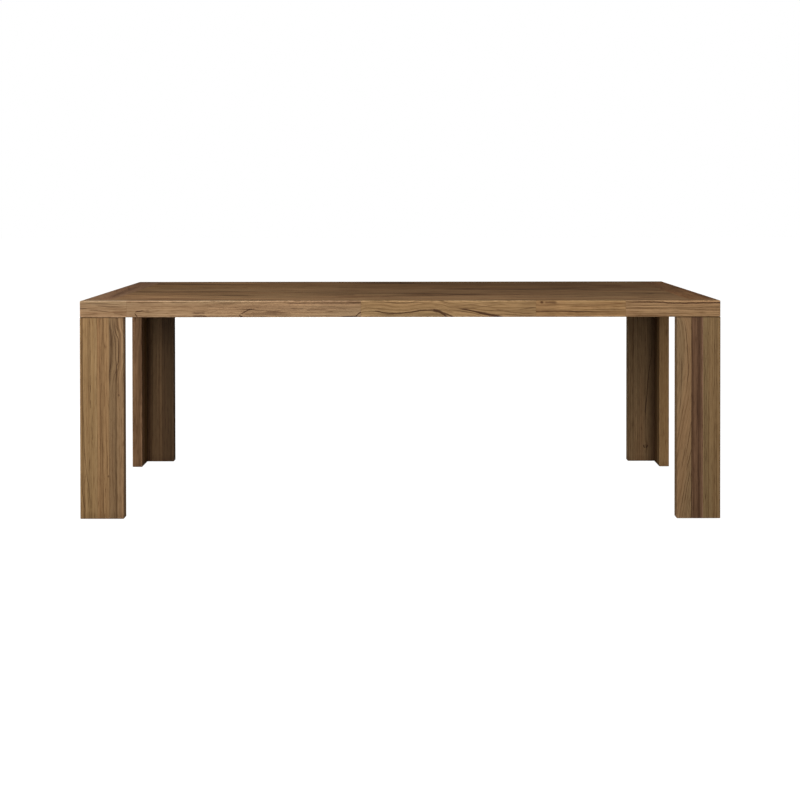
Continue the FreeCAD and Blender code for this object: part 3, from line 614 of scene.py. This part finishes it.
# Veins as half width, depth of tone and points along and across the face
RAIL_VEINS = {
    1: [
        (0.0022, 0.6, [(-1.095, 0.744), (-1.04, 0.741), (-0.98, 0.741)]),
        (0.0022, 0.6, [(-1.06, 0.735), (-1.0, 0.731), (-0.93, 0.729)]),
        (0.0025, 0.6, [(-1.11, 0.724), (-1.09, 0.724), (-1.07, 0.723)]),
        (0.002, 0.6, [(-1.08, 0.72), (-1.04, 0.716), (-0.99, 0.712)]),
        (0.0035, 0.3, [(-1.16, 0.7365), (-1.02, 0.736), (-0.9, 0.7355)]),
        (0.0018, 0.5, [(-0.99, 0.71), (-0.97, 0.706), (-0.945, 0.702)]),
    ],
    2: [
        (0.002, 0.45, [(-0.93, 0.7435), (-0.86, 0.743), (-0.79, 0.7435)]),
        (0.002, 0.5, [(-0.79, 0.743), (-0.76, 0.7435), (-0.72, 0.744)]),
        (0.0048, 1.0, [(-0.913, 0.709), (-0.909, 0.704), (-0.905, 0.699), (-0.899, 0.691)]),
        (0.0028, 1.0, [(-0.914, 0.707), (-0.904, 0.713), (-0.892, 0.715), (-0.878, 0.718)]),
        (0.002, 0.5, [(-0.88, 0.72), (-0.868, 0.723), (-0.85, 0.722)]),
        (0.0048, 0.6, [(-0.72, 0.7065), (-0.69, 0.708), (-0.662, 0.7065)]),
        (0.0036, 0.8, [(-0.722, 0.696), (-0.69, 0.6975), (-0.655, 0.696)]),
        (0.002, 0.4, [(-0.665, 0.707), (-0.645, 0.712), (-0.62, 0.717)]),
        (0.0028, 1.0, [(-0.556, 0.698), (-0.548, 0.704), (-0.533, 0.712), (-0.519, 0.719),
                       (-0.49, 0.722)]),
        (0.0042, 1.0, [(-0.555, 0.702), (-0.549, 0.698), (-0.538, 0.692)]),
        (0.0022, 0.7, [(-0.52, 0.711), (-0.48, 0.716), (-0.44, 0.714), (-0.385, 0.719)]),
        (0.0034, 0.5, [(-0.475, 0.709), (-0.44, 0.711), (-0.41, 0.708), (-0.38, 0.71)]),
        (0.0095, 0.32, [(-0.55, 0.703), (-0.45, 0.705), (-0.35, 0.704)]),
        (0.0028, 0.5, [(-0.51, 0.705), (-0.46, 0.7075), (-0.41, 0.704)]),
        (0.018, 0.22, [(-0.58, 0.722), (-0.44, 0.722), (-0.31, 0.722)]),
        (0.0025, 0.8, [(-0.4, 0.741), (-0.34, 0.7415), (-0.29, 0.742)]),
        (0.0026, 0.8, [(-0.33, 0.742), (-0.25, 0.742), (-0.16, 0.742)]),
        (0.0025, 0.8, [(-0.2, 0.742), (-0.16, 0.7415), (-0.12, 0.742)]),
        (0.0028, 0.5, [(-0.39, 0.723), (-0.35, 0.7225), (-0.32, 0.723)]),
        (0.0025, 0.6, [(-0.34, 0.7185), (-0.29, 0.719), (-0.235, 0.7185)]),
        (0.002, 0.4, [(-0.37, 0.729), (-0.27, 0.7285), (-0.18, 0.73)]),
        (0.0025, 0.9, [(-0.21, 0.695), (-0.17, 0.696), (-0.14, 0.695)]),
        (0.0036, 1.0, [(-0.16, 0.692), (-0.148, 0.7), (-0.141, 0.707), (-0.12, 0.713)]),
        (0.045, 0.17, [(-1.1, 0.722), (-0.93, 0.722), (-0.8, 0.722)]),
        (0.045, 0.12, [(-0.3, 0.722), (-0.13, 0.722), (0.04, 0.722)]),
    ],
    3: [
        (0.003, 1.0, [(-0.15, 0.702), (-0.126, 0.7125), (-0.096, 0.714), (-0.054, 0.708),
                       (-0.019, 0.7065), (0.038, 0.711), (0.112, 0.7175), (0.19, 0.716)]),
        (0.0022, 0.7, [(-0.06, 0.709), (-0.019, 0.705), (0.02, 0.707)]),
        (0.0076, 1.0, [(0.102, 0.7185), (0.117, 0.716), (0.132, 0.713), (0.143, 0.7075), (0.155, 0.7005),
                       (0.17, 0.688)]),
        (0.0048, 0.9, [(0.13, 0.7145), (0.15, 0.707), (0.172, 0.699), (0.195, 0.686)]),
        (0.0036, 1.0, [(0.18, 0.722), (0.216, 0.7205), (0.258, 0.712), (0.303, 0.7015),
                       (0.354, 0.6935)]),
        (0.0062, 1.0, [(0.243, 0.7145), (0.27, 0.709), (0.295, 0.7035), (0.325, 0.698), (0.365, 0.692)]),
        (0.0024, 0.6, [(0.165, 0.7175), (0.22, 0.7125), (0.26, 0.704), (0.3, 0.691)]),
        (0.0017, 0.5, [(0.155, 0.725), (0.22, 0.733), (0.29, 0.742)]),
        (0.0017, 0.5, [(0.165, 0.72), (0.26, 0.727), (0.36, 0.737)]),
        (0.002, 0.6, [(0.4, 0.718), (0.435, 0.7225), (0.47, 0.7265)]),
        (0.0017, 0.4, [(-0.13, 0.744), (0.0, 0.743), (0.13, 0.744)]),
        (0.009, 0.25, [(-0.12, 0.699), (0.05, 0.703), (0.2, 0.697)]),
        (0.0025, 0.6, [(0.34, 0.714), (0.4, 0.708), (0.48, 0.702)]),
        (0.0025, 0.5, [(0.34, 0.7045), (0.41, 0.7), (0.48, 0.696)]),
        (0.045, 0.11, [(0.38, 0.722), (0.46, 0.722), (0.6, 0.722)]),
    ],
    4: [
        (0.002, 0.5, [(0.44, 0.7195), (0.53, 0.716), (0.62, 0.712), (0.7, 0.708), (0.8, 0.7075)]),
        (0.0024, 0.35, [(0.44, 0.7085), (0.54, 0.7045), (0.64, 0.7015), (0.8, 0.701)]),
        (0.006, 0.7, [(0.488, 0.7432), (0.515, 0.7436), (0.544, 0.7432)]),
        (0.002, 0.5, [(0.64, 0.7175), (0.72, 0.719), (0.79, 0.7185)]),
        (0.0024, 0.35, [(0.44, 0.698), (0.56, 0.697), (0.68, 0.695)]),
        (0.0017, 0.4, [(0.55, 0.729), (0.64, 0.731), (0.74, 0.736)]),
        (0.045, 0.18, [(0.36, 0.722), (0.46, 0.722), (0.56, 0.722)]),
    ],
    5: [
        (0.0034, 1.0, [(0.7, 0.7445), (0.84, 0.745), (0.9, 0.744), (0.94, 0.7405), (1.04, 0.7415),
                       (1.25, 0.74)]),
        (0.0026, 0.5, [(0.74, 0.7245), (0.85, 0.7245), (0.93, 0.7235), (1.0, 0.72), (1.08, 0.7165)]),
        (0.0017, 0.5, [(0.79, 0.733), (0.9, 0.734), (1.02, 0.731)]),
        (0.002, 0.4, [(0.77, 0.7035), (0.88, 0.7045), (1.0, 0.702)]),
        (0.009, 0.25, [(0.88, 0.727), (1.03, 0.7265), (1.2, 0.726)]),
        (0.045, 0.1, [(0.68, 0.722), (0.77, 0.722), (0.85, 0.722)]),
    ],
}


def finish_rails():
    """Edge rails, with the figure that shows on the front one."""
    axes = (X, Z, Y)
    # A painted highlight along the front rails' lit top edge
    arris_highlight = [(0.0025, 1.0, [(-1.35, 0.75), (-0.95, 0.75), (-0.55, 0.75)])]
    looks = {
        1: {"shade": toned(DUSTY, 0.98), "pith": (-0.2, 0.05), "wear_and_highlight": 1.1, "pale": arris_highlight},
        2: {
            "shade": DUSTY, "pith": (-0.22, 0.04), "streaks": 0.7, "wear_and_highlight": 1.1, "pale": arris_highlight,
            "knots": [(-0.866, 0.716, 0.006, 0.25), (-0.43, 0.706, 0.008, 0.2)],
        },
        3: {
            "shade": toned(OLIVE, 0.965), "pith": (-0.22, 0.05), "figure": 0.25, "streaks": 0.4,
            "wear_and_highlight": 1.15,
            "flow": [(-0.134, 0.708), (-0.076, 0.713), (0.0, 0.708), (0.103, 0.717), (0.172, 0.706),
                     (0.24, 0.7), (0.326, 0.692), (0.466, 0.69)],
        },
        4: {
            "shade": toned(HONEY, 1.065), "pith": (-0.24, 0.04), "wear_and_highlight": 0.42,
            "knots": [(0.4865, 0.744, 0.0058, 0.9)],
        },
        5: {"shade": toned(REDDISH, 1.11), "pith": (-0.25, 0.03), "wear_and_highlight": 0.26},
    }
    for number, look in looks.items():
        teak(f"front_rail_{number}", axes, free_box=SLAB, veins=RAIL_VEINS[number], **look)
    # The back rails' darker colours are partly painted shade at the table's back
    for number, shade in ((1, toned(BROWN, 0.88)), (2, toned(REDDISH, 0.84))):
        teak(f"back_rail_{number}", axes, shade, SLAB, pith=(-0.22, -0.06), lean=(0.02, 0.02))


# Soft dark stretch along each plank, partly painted shade: half width, and ends left and right as shares
# of the plank's ends
DARK_STRETCH_REACH = 0.25
DARK_STRETCH_LEFT = 0.5
DARK_STRETCH_RIGHT = 0.8
# How far the pith of a plank slopes across it, to one side and the other in turn
PLANK_SLOPE = 0.03


def finish_field():
    """End caps and planks."""
    caps = (
        ("left_end_cap", (0.236, 0.129, 0.071), 0.05, 1, [
            # A broad dark zone towards the back, partly painted shade
            (0.05, 0.25, [(0.15, -1.05), (0.45, -1.05), (0.85, -1.05)]),
            (0.02, 0.35, [(-0.45, -1.01), (-0.2, -1.035), (0.05, -1.045), (0.3, -1.055)]),
            (0.008, 0.6, [(-0.36, -1.02), (-0.22, -1.035), (-0.08, -1.042)]),
        ]),
        ("right_end_cap", (0.275, 0.138, 0.06), -0.05, 2, [
            # A broad dark zone towards the back, partly painted shade
            (0.06, 0.38, [(-0.3, 1.03), (0.3, 1.03), (0.9, 1.03)]),
            (0.022, 0.4, [(-0.6, 1.092), (-0.2, 1.088), (0.15, 1.08), (0.6, 1.07)]),
        ]),
    )
    for name, shade, lean, tree, veins in caps:
        teak(name, (Y, X, Z), shade, SLAB, pith=(0.02, -0.1), lean=(0.02, lean), figure=0.2, mottle=0.35,
             streaks=0.7, veins=veins, tree=tree)
    # Shade, pith across and through, its slope through, mottle, and the dark stretch's depth and shift;
    # from the front plank to the back one the colours darken and the stretches deepen, partly painted
    # shade
    planks = (
        (toned(REDDISH, 1.19), (0.03, -0.12), 0.05, 0.55, 0.12, -0.5),
        (toned(RUSSET, 1.05), (-0.05, -0.16), -0.06, 0.75, 0.18, 0.0),
        (toned(RUSSET, 1.05), (0.06, -0.1), 0.04, 0.75, 0.22, 0.0),
        (toned(UMBER, 0.98), (-0.02, -0.14), -0.05, 0.75, 0.25, 0.12),
        (toned(UMBER, 0.93), (0.04, -0.11), 0.06, 0.75, 0.26, 0.12),
    )
    for number, (shade, pith, slope, mottle, dark, aside) in enumerate(planks, start=1):
        name = f"field_plank_{number}"
        low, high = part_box(name)
        centre = middle(low, high)
        stretch = (low.x * DARK_STRETCH_LEFT, centre.x, high.x * DARK_STRETCH_RIGHT)
        dark_stretch = [(point + aside, centre.y) for point in stretch]
        lean = (PLANK_SLOPE * (-1) ** number, slope)
        teak(name, (X, Y, Z), shade, SLAB, pith=pith, lean=lean, ring=0.006, mottle=mottle, streaks=0.7,
             veins=[(DARK_STRETCH_REACH, dark, dark_stretch)])


# How much darker a board gets towards its lower end
FOOT_DARKENING = {
    "front_left_face": 0.38, "rear_left_face": 0.4, "rear_left_side": 0.4, "rear_right_face": 0.3,
    "rear_right_side": 0.3,
}
# Painted shade in a leg's inner corner: where its dark is full and where it ends, and its depth
CORNER_SHADES = {"rear_left": (0.008, 0.026, 0.82)}
USUAL_CORNER_SHADE = (0.004, 0.04, 0.74)


# Looks of the staves that show
STAVE_LOOKS = {
    "front_left_face_outer_stave": {
        "shade": toned(HONEY, 0.85),
        "veins": [
            (0.0016, 0.8, [(0.015, -1.08), (0.0685, -1.089), (0.15, -1.096)]),
            (0.0014, 0.7, [(0.04, -1.066), (0.103, -1.0695), (0.148, -1.0765), (0.213, -1.083),
                           (0.29, -1.088)]),
            (0.004, 0.25, [(0.35, -1.066), (0.55, -1.067), (0.72, -1.068)]),
            (0.0035, 0.25, [(0.3, -1.091), (0.5, -1.0915), (0.72, -1.0925)]),
            (0.0016, 0.7, [(0.375, -1.063), (0.395, -1.063), (0.415, -1.063)]),
            (0.0014, 0.6, [(0.43, -1.063), (0.448, -1.063), (0.466, -1.063)]),
        ],
        "pale": [(0.0045, 0.3, [(-0.3, -1.046), (0.35, -1.0464), (1.0, -1.046)])],
    },
    "front_left_face_middle_stave": {
        "shade": (0.206, 0.116, 0.053), "figure": 0.25,
        "veins": [(0.013, 0.18, [(-0.2, -1.027), (0.35, -1.027), (0.9, -1.027)])],
        "knots": [(0.147, -1.003, 0.004, 0.6)],
    },
    "front_left_face_inner_stave": {
        "shade": toned(BROWN, 0.77), "pith": (-0.15, 0.05),
        "flow": [(0.0, -0.976), (0.42, -0.978), (0.49, -0.977), (0.549, -0.968), (0.611, -0.968),
                 (0.659, -0.977), (0.693, -0.98)],
        "veins": [
            (0.0018, 1.0, [(0.43, -0.981), (0.491, -0.975), (0.525, -0.9725), (0.549, -0.9665),
                           (0.611, -0.9667), (0.632, -0.9725), (0.659, -0.979), (0.72, -0.982)]),
            (0.0016, 0.9, [(0.44, -0.989), (0.494, -0.981), (0.529, -0.9735), (0.553, -0.977),
                           (0.597, -0.977), (0.628, -0.981), (0.663, -0.986), (0.72, -0.989)]),
            (0.0014, 0.6, [(0.53, -0.9885), (0.585, -0.988), (0.62, -0.9905), (0.7, -0.995)]),
            (0.0014, 0.7, [(0.645, -0.968), (0.66, -0.972), (0.668, -0.98)]),
            (0.006, 0.55, [(0.42, -0.995), (0.53, -0.9955), (0.6, -0.995), (0.72, -0.994)]),
            (0.017, 0.27, [(-0.4, -0.984), (0.35, -0.984), (1.1, -0.984)]),
            (0.0014, 0.6, [(-0.05, -0.9945), (0.18, -0.9945), (0.42, -0.995)]),
            (0.0014, 0.6, [(0.05, -0.9873), (0.25, -0.987), (0.4, -0.9875)]),
            (0.0013, 0.7, [(0.42, -0.968), (0.46, -0.967), (0.5, -0.966)]),
            (0.0013, 0.6, [(0.4, -0.9725), (0.44, -0.971), (0.48, -0.97)]),
        ],
        "pale": [
            (0.006, 0.35, [(-0.3, -0.959), (0.35, -0.959), (1.0, -0.959)]),
            # Painted light on the leg's inner end edge
            (0.004, 0.16, [(-0.3, -0.95), (0.35, -0.95), (1.0, -0.95)]),
        ],
        "knots": [(0.426, -0.966, 0.004, 0.6)],
    },
    "front_right_face_outer_stave": {
        "shade": toned(OLIVE, 0.73), "figure": 0.25, "wear_and_highlight": 0.15,
        "veins": [
            (0.0028, 0.45, [(0.0, 1.046), (0.36, 1.0458), (0.7, 1.046)]),
            (0.0032, 0.4, [(-0.3, 1.0985), (0.35, 1.0985), (1.0, 1.0985)]),
        ],
    },
    "front_right_face_middle_stave": {
        "shade": (0.113, 0.062, 0.0345), "figure": 0.4,
        "veins": [
            (0.009, 0.36, [(-0.2, 1.026), (0.1, 1.026), (0.4, 1.0265)]),
            (0.009, 0.55, [(0.15, 1.0262), (0.5, 1.0268), (1.0, 1.028)]),
            (0.015, 0.16, [(0.25, 1.022), (0.55, 1.023), (1.0, 1.023)]),
            (0.0016, 0.7, [(-0.05, 1.0012), (0.25, 1.0014), (0.52, 1.0016)]),
            (0.0014, 0.6, [(0.32, 1.0046), (0.48, 1.005), (0.66, 1.0048)]),
            (0.0013, 0.5, [(0.24, 1.0182), (0.36, 1.018), (0.48, 1.0183)]),
            (0.0013, 0.5, [(0.28, 1.0348), (0.39, 1.0345), (0.5, 1.0346)]),
        ],
        "pale": [
            (0.0042, 1.0, [(-0.3, 1.0395), (0.35, 1.0395), (1.0, 1.0395)]),
            (0.0026, 0.3, [(-0.2, 1.0086), (0.1, 1.0088), (0.32, 1.0086)]),
            (0.0022, 0.2, [(0.45, 1.014), (0.6, 1.0137), (0.8, 1.0136)]),
        ],
    },
    "front_right_face_inner_stave": {
        "shade": toned(BROWN, 0.79), "pith": (-0.2, 0.05), "figure": 0.22, "streaks": 0.85,
        "flow": [(0.0, 0.935), (0.3, 0.985), (0.52, 1.02), (0.62, 1.025), (0.693, 1.012)],
        "veins": [
            (0.0018, 0.8, [(0.41, 0.982), (0.47, 0.986), (0.505, 0.989), (0.567, 0.9875),
                           (0.608, 0.9845), (0.642, 0.981), (0.71, 0.97)]),
            (0.0016, 0.8, [(0.345, 0.958), (0.405, 0.9625), (0.44, 0.965), (0.491, 0.9665),
                           (0.59, 0.9665)]),
            (0.0015, 0.8, [(0.15, 0.979), (0.2, 0.991), (0.255, 1.004)]),
            (0.0015, 0.7, [(0.19, 0.975), (0.275, 0.991), (0.36, 1.004)]),
            (0.0015, 0.7, [(0.02, 0.963), (0.085, 0.973), (0.15, 0.983)]),
            (0.0015, 0.6, [(0.04, 0.973), (0.11, 0.9855), (0.18, 0.998)]),
            (0.0013, 0.6, [(0.16, 0.964), (0.2, 0.972), (0.25, 0.981)]),
            (0.0013, 0.6, [(0.0, 0.987), (0.055, 0.995), (0.11, 1.003)]),
            (0.0045, 0.28, [(-0.3, 0.9495), (0.35, 0.9495), (1.0, 0.9495)]),
        ],
    },
    # Rear left back board: its broad veins low down and under the top are painted shade, and its dark
    # colours partly painted shade
    "rear_left_face_middle_stave": {
        "shade": toned(BROWN, 0.67),
        "veins": [
            (0.06, 0.15, [(-0.3, -1.02), (0.0, -1.02), (0.29, -1.02)]),
            (0.06, 0.15, [(0.44, -1.02), (0.6, -1.02), (0.95, -1.02)]),
        ],
    },
    # Dark colour partly painted shade; its veins are painted shade low down and under the top
    "rear_left_face_inner_stave": {
        "shade": toned(REDDISH, 0.38),
        "veins": [
            (0.06, 0.14, [(-0.3, -0.98), (0.0, -0.98), (0.26, -0.98)]),
            (0.06, 0.27, [(0.43, -0.98), (0.6, -0.98), (0.95, -0.98)]),
        ],
    },
    "rear_left_side_inner_stave": {
        # Painted shade on its front edge, darker towards its inner face
        "shade": (0.236, 0.128, 0.065), "painted_shade_lines": [(0.35, -1.06, 0.0, 0.03, 0.22)],
    },
    # The dark colours of these side staves are partly painted shade of the rear legs' hollows
    "rear_left_side_middle_stave": {"shade": (0.128, 0.064, 0.021)},
    "rear_right_side_middle_stave": {"shade": (0.12, 0.065, 0.027)},
    "rear_right_face_inner_stave": {"shade": BROWN},
    "rear_right_side_inner_stave": {
        "shade": toned(HONEY, 1.16),
        # A broad vein of painted shade in the hollow
        "veins": [(0.045, 0.27, [(-0.4, 0.405), (0.35, 0.405), (1.1, 0.405)])],
    },
    "rear_right_face_middle_stave": {
        "shade": toned(BROWN, 0.87), "knots": [(0.063, 1.024, 0.007, 0.35)],
        "veins": [
            (0.0026, 1.0, [(0.14, 1.02), (0.22, 1.024), (0.27, 1.029), (0.32, 1.033), (0.36, 1.036),
                           (0.44, 1.0475)]),
            (0.003, 1.0, [(0.052, 1.024), (0.057, 1.0195), (0.061, 1.017), (0.07, 1.0155)]),
            (0.003, 1.0, [(0.052, 1.024), (0.057, 1.0285), (0.061, 1.031), (0.07, 1.0325)]),
        ],
    },
    "rear_right_face_outer_stave": {
        "veins": [(0.0024, 1.0, [(0.32, 1.033), (0.4, 1.042), (0.44, 1.0475), (0.52, 1.055)])],
    },
}


def finish_legs():
    """Leg staves, each a board of its own tree."""
    usual = {"outer": toned(BROWN, 0.92), "middle": toned(OLIVE, 0.94), "inner": toned(REDDISH, 0.9)}
    for leg in LEGS:
        staves = {
            board: [f"{leg}_{board}_{stave}_stave" for stave in STAVES] for board in ("face", "side")
        }
        boxes = {board: joined_box(names) for board, names in staves.items()}
        corner = {
            X: min((limit.x for limit in boxes["side"]), key=abs),
            Y: min((limit.y for limit in boxes["face"]), key=abs),
        }
        for board, axes in (("face", (Z, X, Y)), ("side", (Z, Y, X))):
            names = staves[board]
            low, high = boxes[board]
            edge_box = (low, high + Vector((0.0, 0.0, EDGE_BOX_CLEAR)))
            for name, stave in zip(names, STAVES):
                draw = random.Random(name)
                look = {
                    "shade": toned(usual[stave], draw.uniform(0.94, 1.05)),
                    "pith": (draw.choice((-1, 1)) * draw.uniform(0.1, 0.2), draw.uniform(-0.06, 0.06)),
                    "lean": (draw.uniform(-0.02, 0.02), draw.uniform(-0.03, 0.03)),
                    "ring": draw.uniform(0.004, 0.007),
                    "mottle": 0.15,
                    "streaks": 0.6,
                    "stretch": 2.0,
                    "wear_and_highlight": 0.4,
                    "foot_dark": FOOT_DARKENING.get(f"{leg}_{board}", 0.0),
                    # Painted shade in the leg's inner corner
                    "painted_shade_lines": [(corner[axes[1]], corner[axes[2]], *CORNER_SHADES.get(leg, USUAL_CORNER_SHADE))],
                }
                look.update(STAVE_LOOKS.get(name, {}))
                teak(name, axes, free_box=edge_box, end_darkening=True, **look)


def finish_hidden_wood():
    """Battens, corner blocks, dowels and splines."""
    pale = toned(BROWN, 1.15)
    battens = ("left_batten", "middle_batten", "right_batten")
    blocks = tuple(f"{leg}_corner_block" for leg in LEGS)
    for name in battens + blocks:
        shade = toned(pale, random.Random(name).uniform(0.94, 1.06))
        teak(name, (Y, X, Z), shade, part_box(name), pith=(0.04, 0.08))
    teak("frame_dowels", (X, Y, Z), pale, SLAB)
    teak("leg_splines", (Z, X, Y), pale, CAD_BOUNDS)


# Hardware and feet

# Waves per metre of the noises, and the tones and roughness that they run through over a range
FINE_RELIEF = 0.0001
FINISH_RANGE = (0.3, 0.7)
BLOTCH_WAVES = (220.0,) * 3
BLOTCH_DETAIL = 3.0
TURNING_WAVES = (400.0, 400.0, 2400.0)
METAL_TONES = (0.8, 1.15)
METAL_ROUGHNESS = (0.24, 0.42)
METAL_BUMP = 0.3
SPECK_WAVES = (1800.0,) * 3
RUB_WAVES = (180.0,) * 3
RUB_DETAIL = 4.0
NYLON_SHADES = ((0.35, (0.018,) * 3), (0.7, (0.045,) * 3))
NYLON_ROUGHNESS = (0.42, 0.62)
NYLON_BUMP = 0.4


def metal(name, colour):
    """Plated metal with turning marks and a slightly mottled shine."""
    material, graph, shader = new_material(name)
    position = graph.node("ShaderNodeTexCoord").outputs["Object"]
    blotch = graph.noise(graph.vector("MULTIPLY", position, BLOTCH_WAVES), BLOTCH_DETAIL)[0]
    marks = graph.noise(graph.vector("MULTIPLY", position, TURNING_WAVES))[0]
    shades = [(place, toned(colour, tone)) for place, tone in zip(FINISH_RANGE, METAL_TONES)]
    graph.feed(shader.inputs["Base Color"], graph.ramp(blotch, shades))
    graph.feed(shader.inputs["Roughness"], graph.remap(marks, FINISH_RANGE, METAL_ROUGHNESS))
    graph.feed(shader.inputs["Normal"], graph.bump(marks, METAL_BUMP, FINE_RELIEF))
    shader.inputs["Metallic"].default_value = 1.0
    return material


def nylon():
    """Dark moulded nylon with a fine spark-eroded texture and scuffs."""
    material, graph, shader = new_material("foot_nylon")
    position = graph.node("ShaderNodeTexCoord").outputs["Object"]
    speck = graph.noise(graph.vector("MULTIPLY", position, SPECK_WAVES))[0]
    rub = graph.noise(graph.vector("MULTIPLY", position, RUB_WAVES), RUB_DETAIL)[0]
    graph.feed(shader.inputs["Base Color"], graph.ramp(rub, NYLON_SHADES))
    graph.feed(shader.inputs["Roughness"], graph.remap(rub, FINISH_RANGE, NYLON_ROUGHNESS))
    graph.feed(shader.inputs["Normal"], graph.bump(speck, NYLON_BUMP, FINE_RELIEF))
    return material


def finish_hardware():
    """Zinc-plated steel, brass inserts and nylon pads."""
    steel = metal("zinc_steel", (0.5, 0.51, 0.53))
    brass = metal("brass", (0.66, 0.48, 0.22))
    pad = nylon()
    for name in ("leg_bolts", "block_screws", "batten_screws"):
        dress(name, steel)
    for name in ("top_inserts", "foot_inserts"):
        dress(name, brass)
    for leg in LEGS:
        dress(f"{leg}_foot_stem", steel)
        dress(f"{leg}_foot_pad", pad)


# Stage

FLOOR_REACH = 30.0
FLOOR_ALBEDO = 0.16
FLOOR_ROUGHNESS = 0.9
FLOOR_SHEEN = 0.1
# The floor lies just under the levelling feet at their full reach, so that they show there
FOOT_REACH = 0.01
FLOOR_CLEAR = 0.0005


def floor():
    """A pale floor that runs out to a white background, and that a view from below looks through."""
    level = TABLE_LOW.z - FOOT_REACH - FLOOR_CLEAR
    turns = ((-1, -1), (1, -1), (1, 1), (-1, 1))
    corners = [(sx * FLOOR_REACH, sy * FLOOR_REACH, level) for sx, sy in turns]
    mesh = bpy.data.meshes.new("floor")
    mesh.from_pydata(corners, [], [(0, 1, 2, 3)])
    sheet = bpy.data.objects.new("floor", mesh)
    bpy.context.scene.collection.objects.link(sheet)
    material, graph, shader = new_material("pale_floor")
    shader.inputs["Base Color"].default_value = (FLOOR_ALBEDO, FLOOR_ALBEDO, FLOOR_ALBEDO, 1.0)
    shader.inputs["Roughness"].default_value = FLOOR_ROUGHNESS
    shader.inputs["Specular IOR Level"].default_value = FLOOR_SHEEN
    shader.inputs["Emission Color"].default_value = WHITE
    seen = graph.node("ShaderNodeLightPath").outputs["Is Camera Ray"]
    graph.feed(shader.inputs["Emission Strength"], seen)
    sides = graph.node("ShaderNodeMixShader")
    graph.feed(sides.inputs[0], graph.node("ShaderNodeNewGeometry").outputs["Backfacing"])
    graph.feed(sides.inputs[1], shader.outputs[0])
    graph.feed(sides.inputs[2], graph.node("ShaderNodeBsdfTransparent").outputs[0])
    graph.feed(material.node_tree.nodes["Material Output"].inputs["Surface"], sides.outputs[0])
    mesh.materials.append(material)


HORIZON_LIGHT = 0.015
ZENITH_LIGHT = 0.46
# Heights on the unit sphere between which the one gives way to the other
DUSK_RANGE = (0.2, 0.95)


def surroundings():
    """A white background, whose light comes from above, so that polish seen at a slant mirrors little."""
    world = bpy.data.worlds.new("studio")
    world.use_nodes = True
    graph = Graph(world.node_tree)
    background = world.node_tree.nodes["Background"]
    seen = graph.node("ShaderNodeLightPath").outputs["Is Camera Ray"]
    height = graph.parts(graph.node("ShaderNodeTexCoord").outputs["Generated"])[2]
    light = graph.remap(graph.fade(height, *DUSK_RANGE), (0.0, 1.0), (HORIZON_LIGHT, ZENITH_LIGHT))
    graph.feed(background.inputs["Strength"], graph.math("MAXIMUM", seen, light))
    background.inputs["Color"].default_value = WHITE
    bpy.context.scene.world = world


# Fills stand below the top, the one behind far off and the strips in line with the rear legs, so that the
# top and the rear legs' hollows keep the key's light and shade
BACK_REACH = 9.0
FILL_REACH = 3.4
FILL_HEIGHT = 0.4
FILL_TALL = 0.65
FILL_BEHIND = 0.45


def softbox(name, place, target, size, power, mirrored=True):
    """A rectangular studio light aimed at a point, which polish may mirror."""
    light = bpy.data.lights.new(name, "AREA")
    light.shape = "RECTANGLE"
    light.size, light.size_y = size
    light.energy = power
    lamp = bpy.data.objects.new(name, light)
    lamp.location = place
    lamp.rotation_euler = (Vector(target) - Vector(place)).to_track_quat("-Z", "Y").to_euler()
    lamp.visible_camera = False
    lamp.visible_glossy = mirrored
    bpy.context.scene.collection.objects.link(lamp)


def lights():
    """A wide key in front, a small light near the front edge, and low fills behind and at the ends."""
    softbox("key", place=(-0.45, -3.1, 1.55), target=(0.0, -0.3, 0.55), size=(4.6, 2.0), power=147.0)
    softbox("edge", place=(-1.3, -1.7, 2.1), target=(-0.8, -0.4, 0.75), size=(2.0, 0.5), power=19.0)
    softbox("back", place=(0.0, BACK_REACH, FILL_HEIGHT), target=(0.0, 0.0, FILL_HEIGHT),
            size=(3.6, FILL_TALL), power=520.0, mirrored=False)
    for name, side in (("left", -1), ("right", 1)):
        softbox(f"{name}_strip", place=(side * FILL_REACH, FILL_BEHIND, FILL_HEIGHT),
                target=(0.0, FILL_BEHIND, FILL_HEIGHT), size=(0.3, FILL_TALL), power=34.0, mirrored=False)


# Photograph's view: nearly level, in front of the middle but for a hair, with the picture shifted down
CAMERA_DISTANCE = 4.39
CAMERA_ASIDE = 0.011
CAMERA_HEIGHT = 1.103
CAMERA_LENS = 57.62
CAMERA_SENSOR = 36.0
CAMERA_SHIFT = (-0.00396, -0.2369)
CAMERA_TILT = math.radians(89.43)
CAMERA_ROLL = math.radians(0.065)


def camera():
    """The camera, all but square to the table's front."""
    data = bpy.data.cameras.new("camera")
    data.lens = CAMERA_LENS
    data.sensor_width = CAMERA_SENSOR
    data.shift_x, data.shift_y = CAMERA_SHIFT
    eye = bpy.data.objects.new("camera", data)
    eye.location = (CAMERA_ASIDE, TABLE_LOW.y - CAMERA_DISTANCE, CAMERA_HEIGHT)
    eye.rotation_euler = (CAMERA_TILT, CAMERA_ROLL, 0.0)
    bpy.context.scene.collection.objects.link(eye)
    bpy.context.scene.camera = eye
    bpy.context.scene.view_settings.view_transform = "Standard"


finish_rails()
finish_field()
finish_legs()
finish_hidden_wood()
finish_hardware()
floor()
surroundings()
lights()
camera()
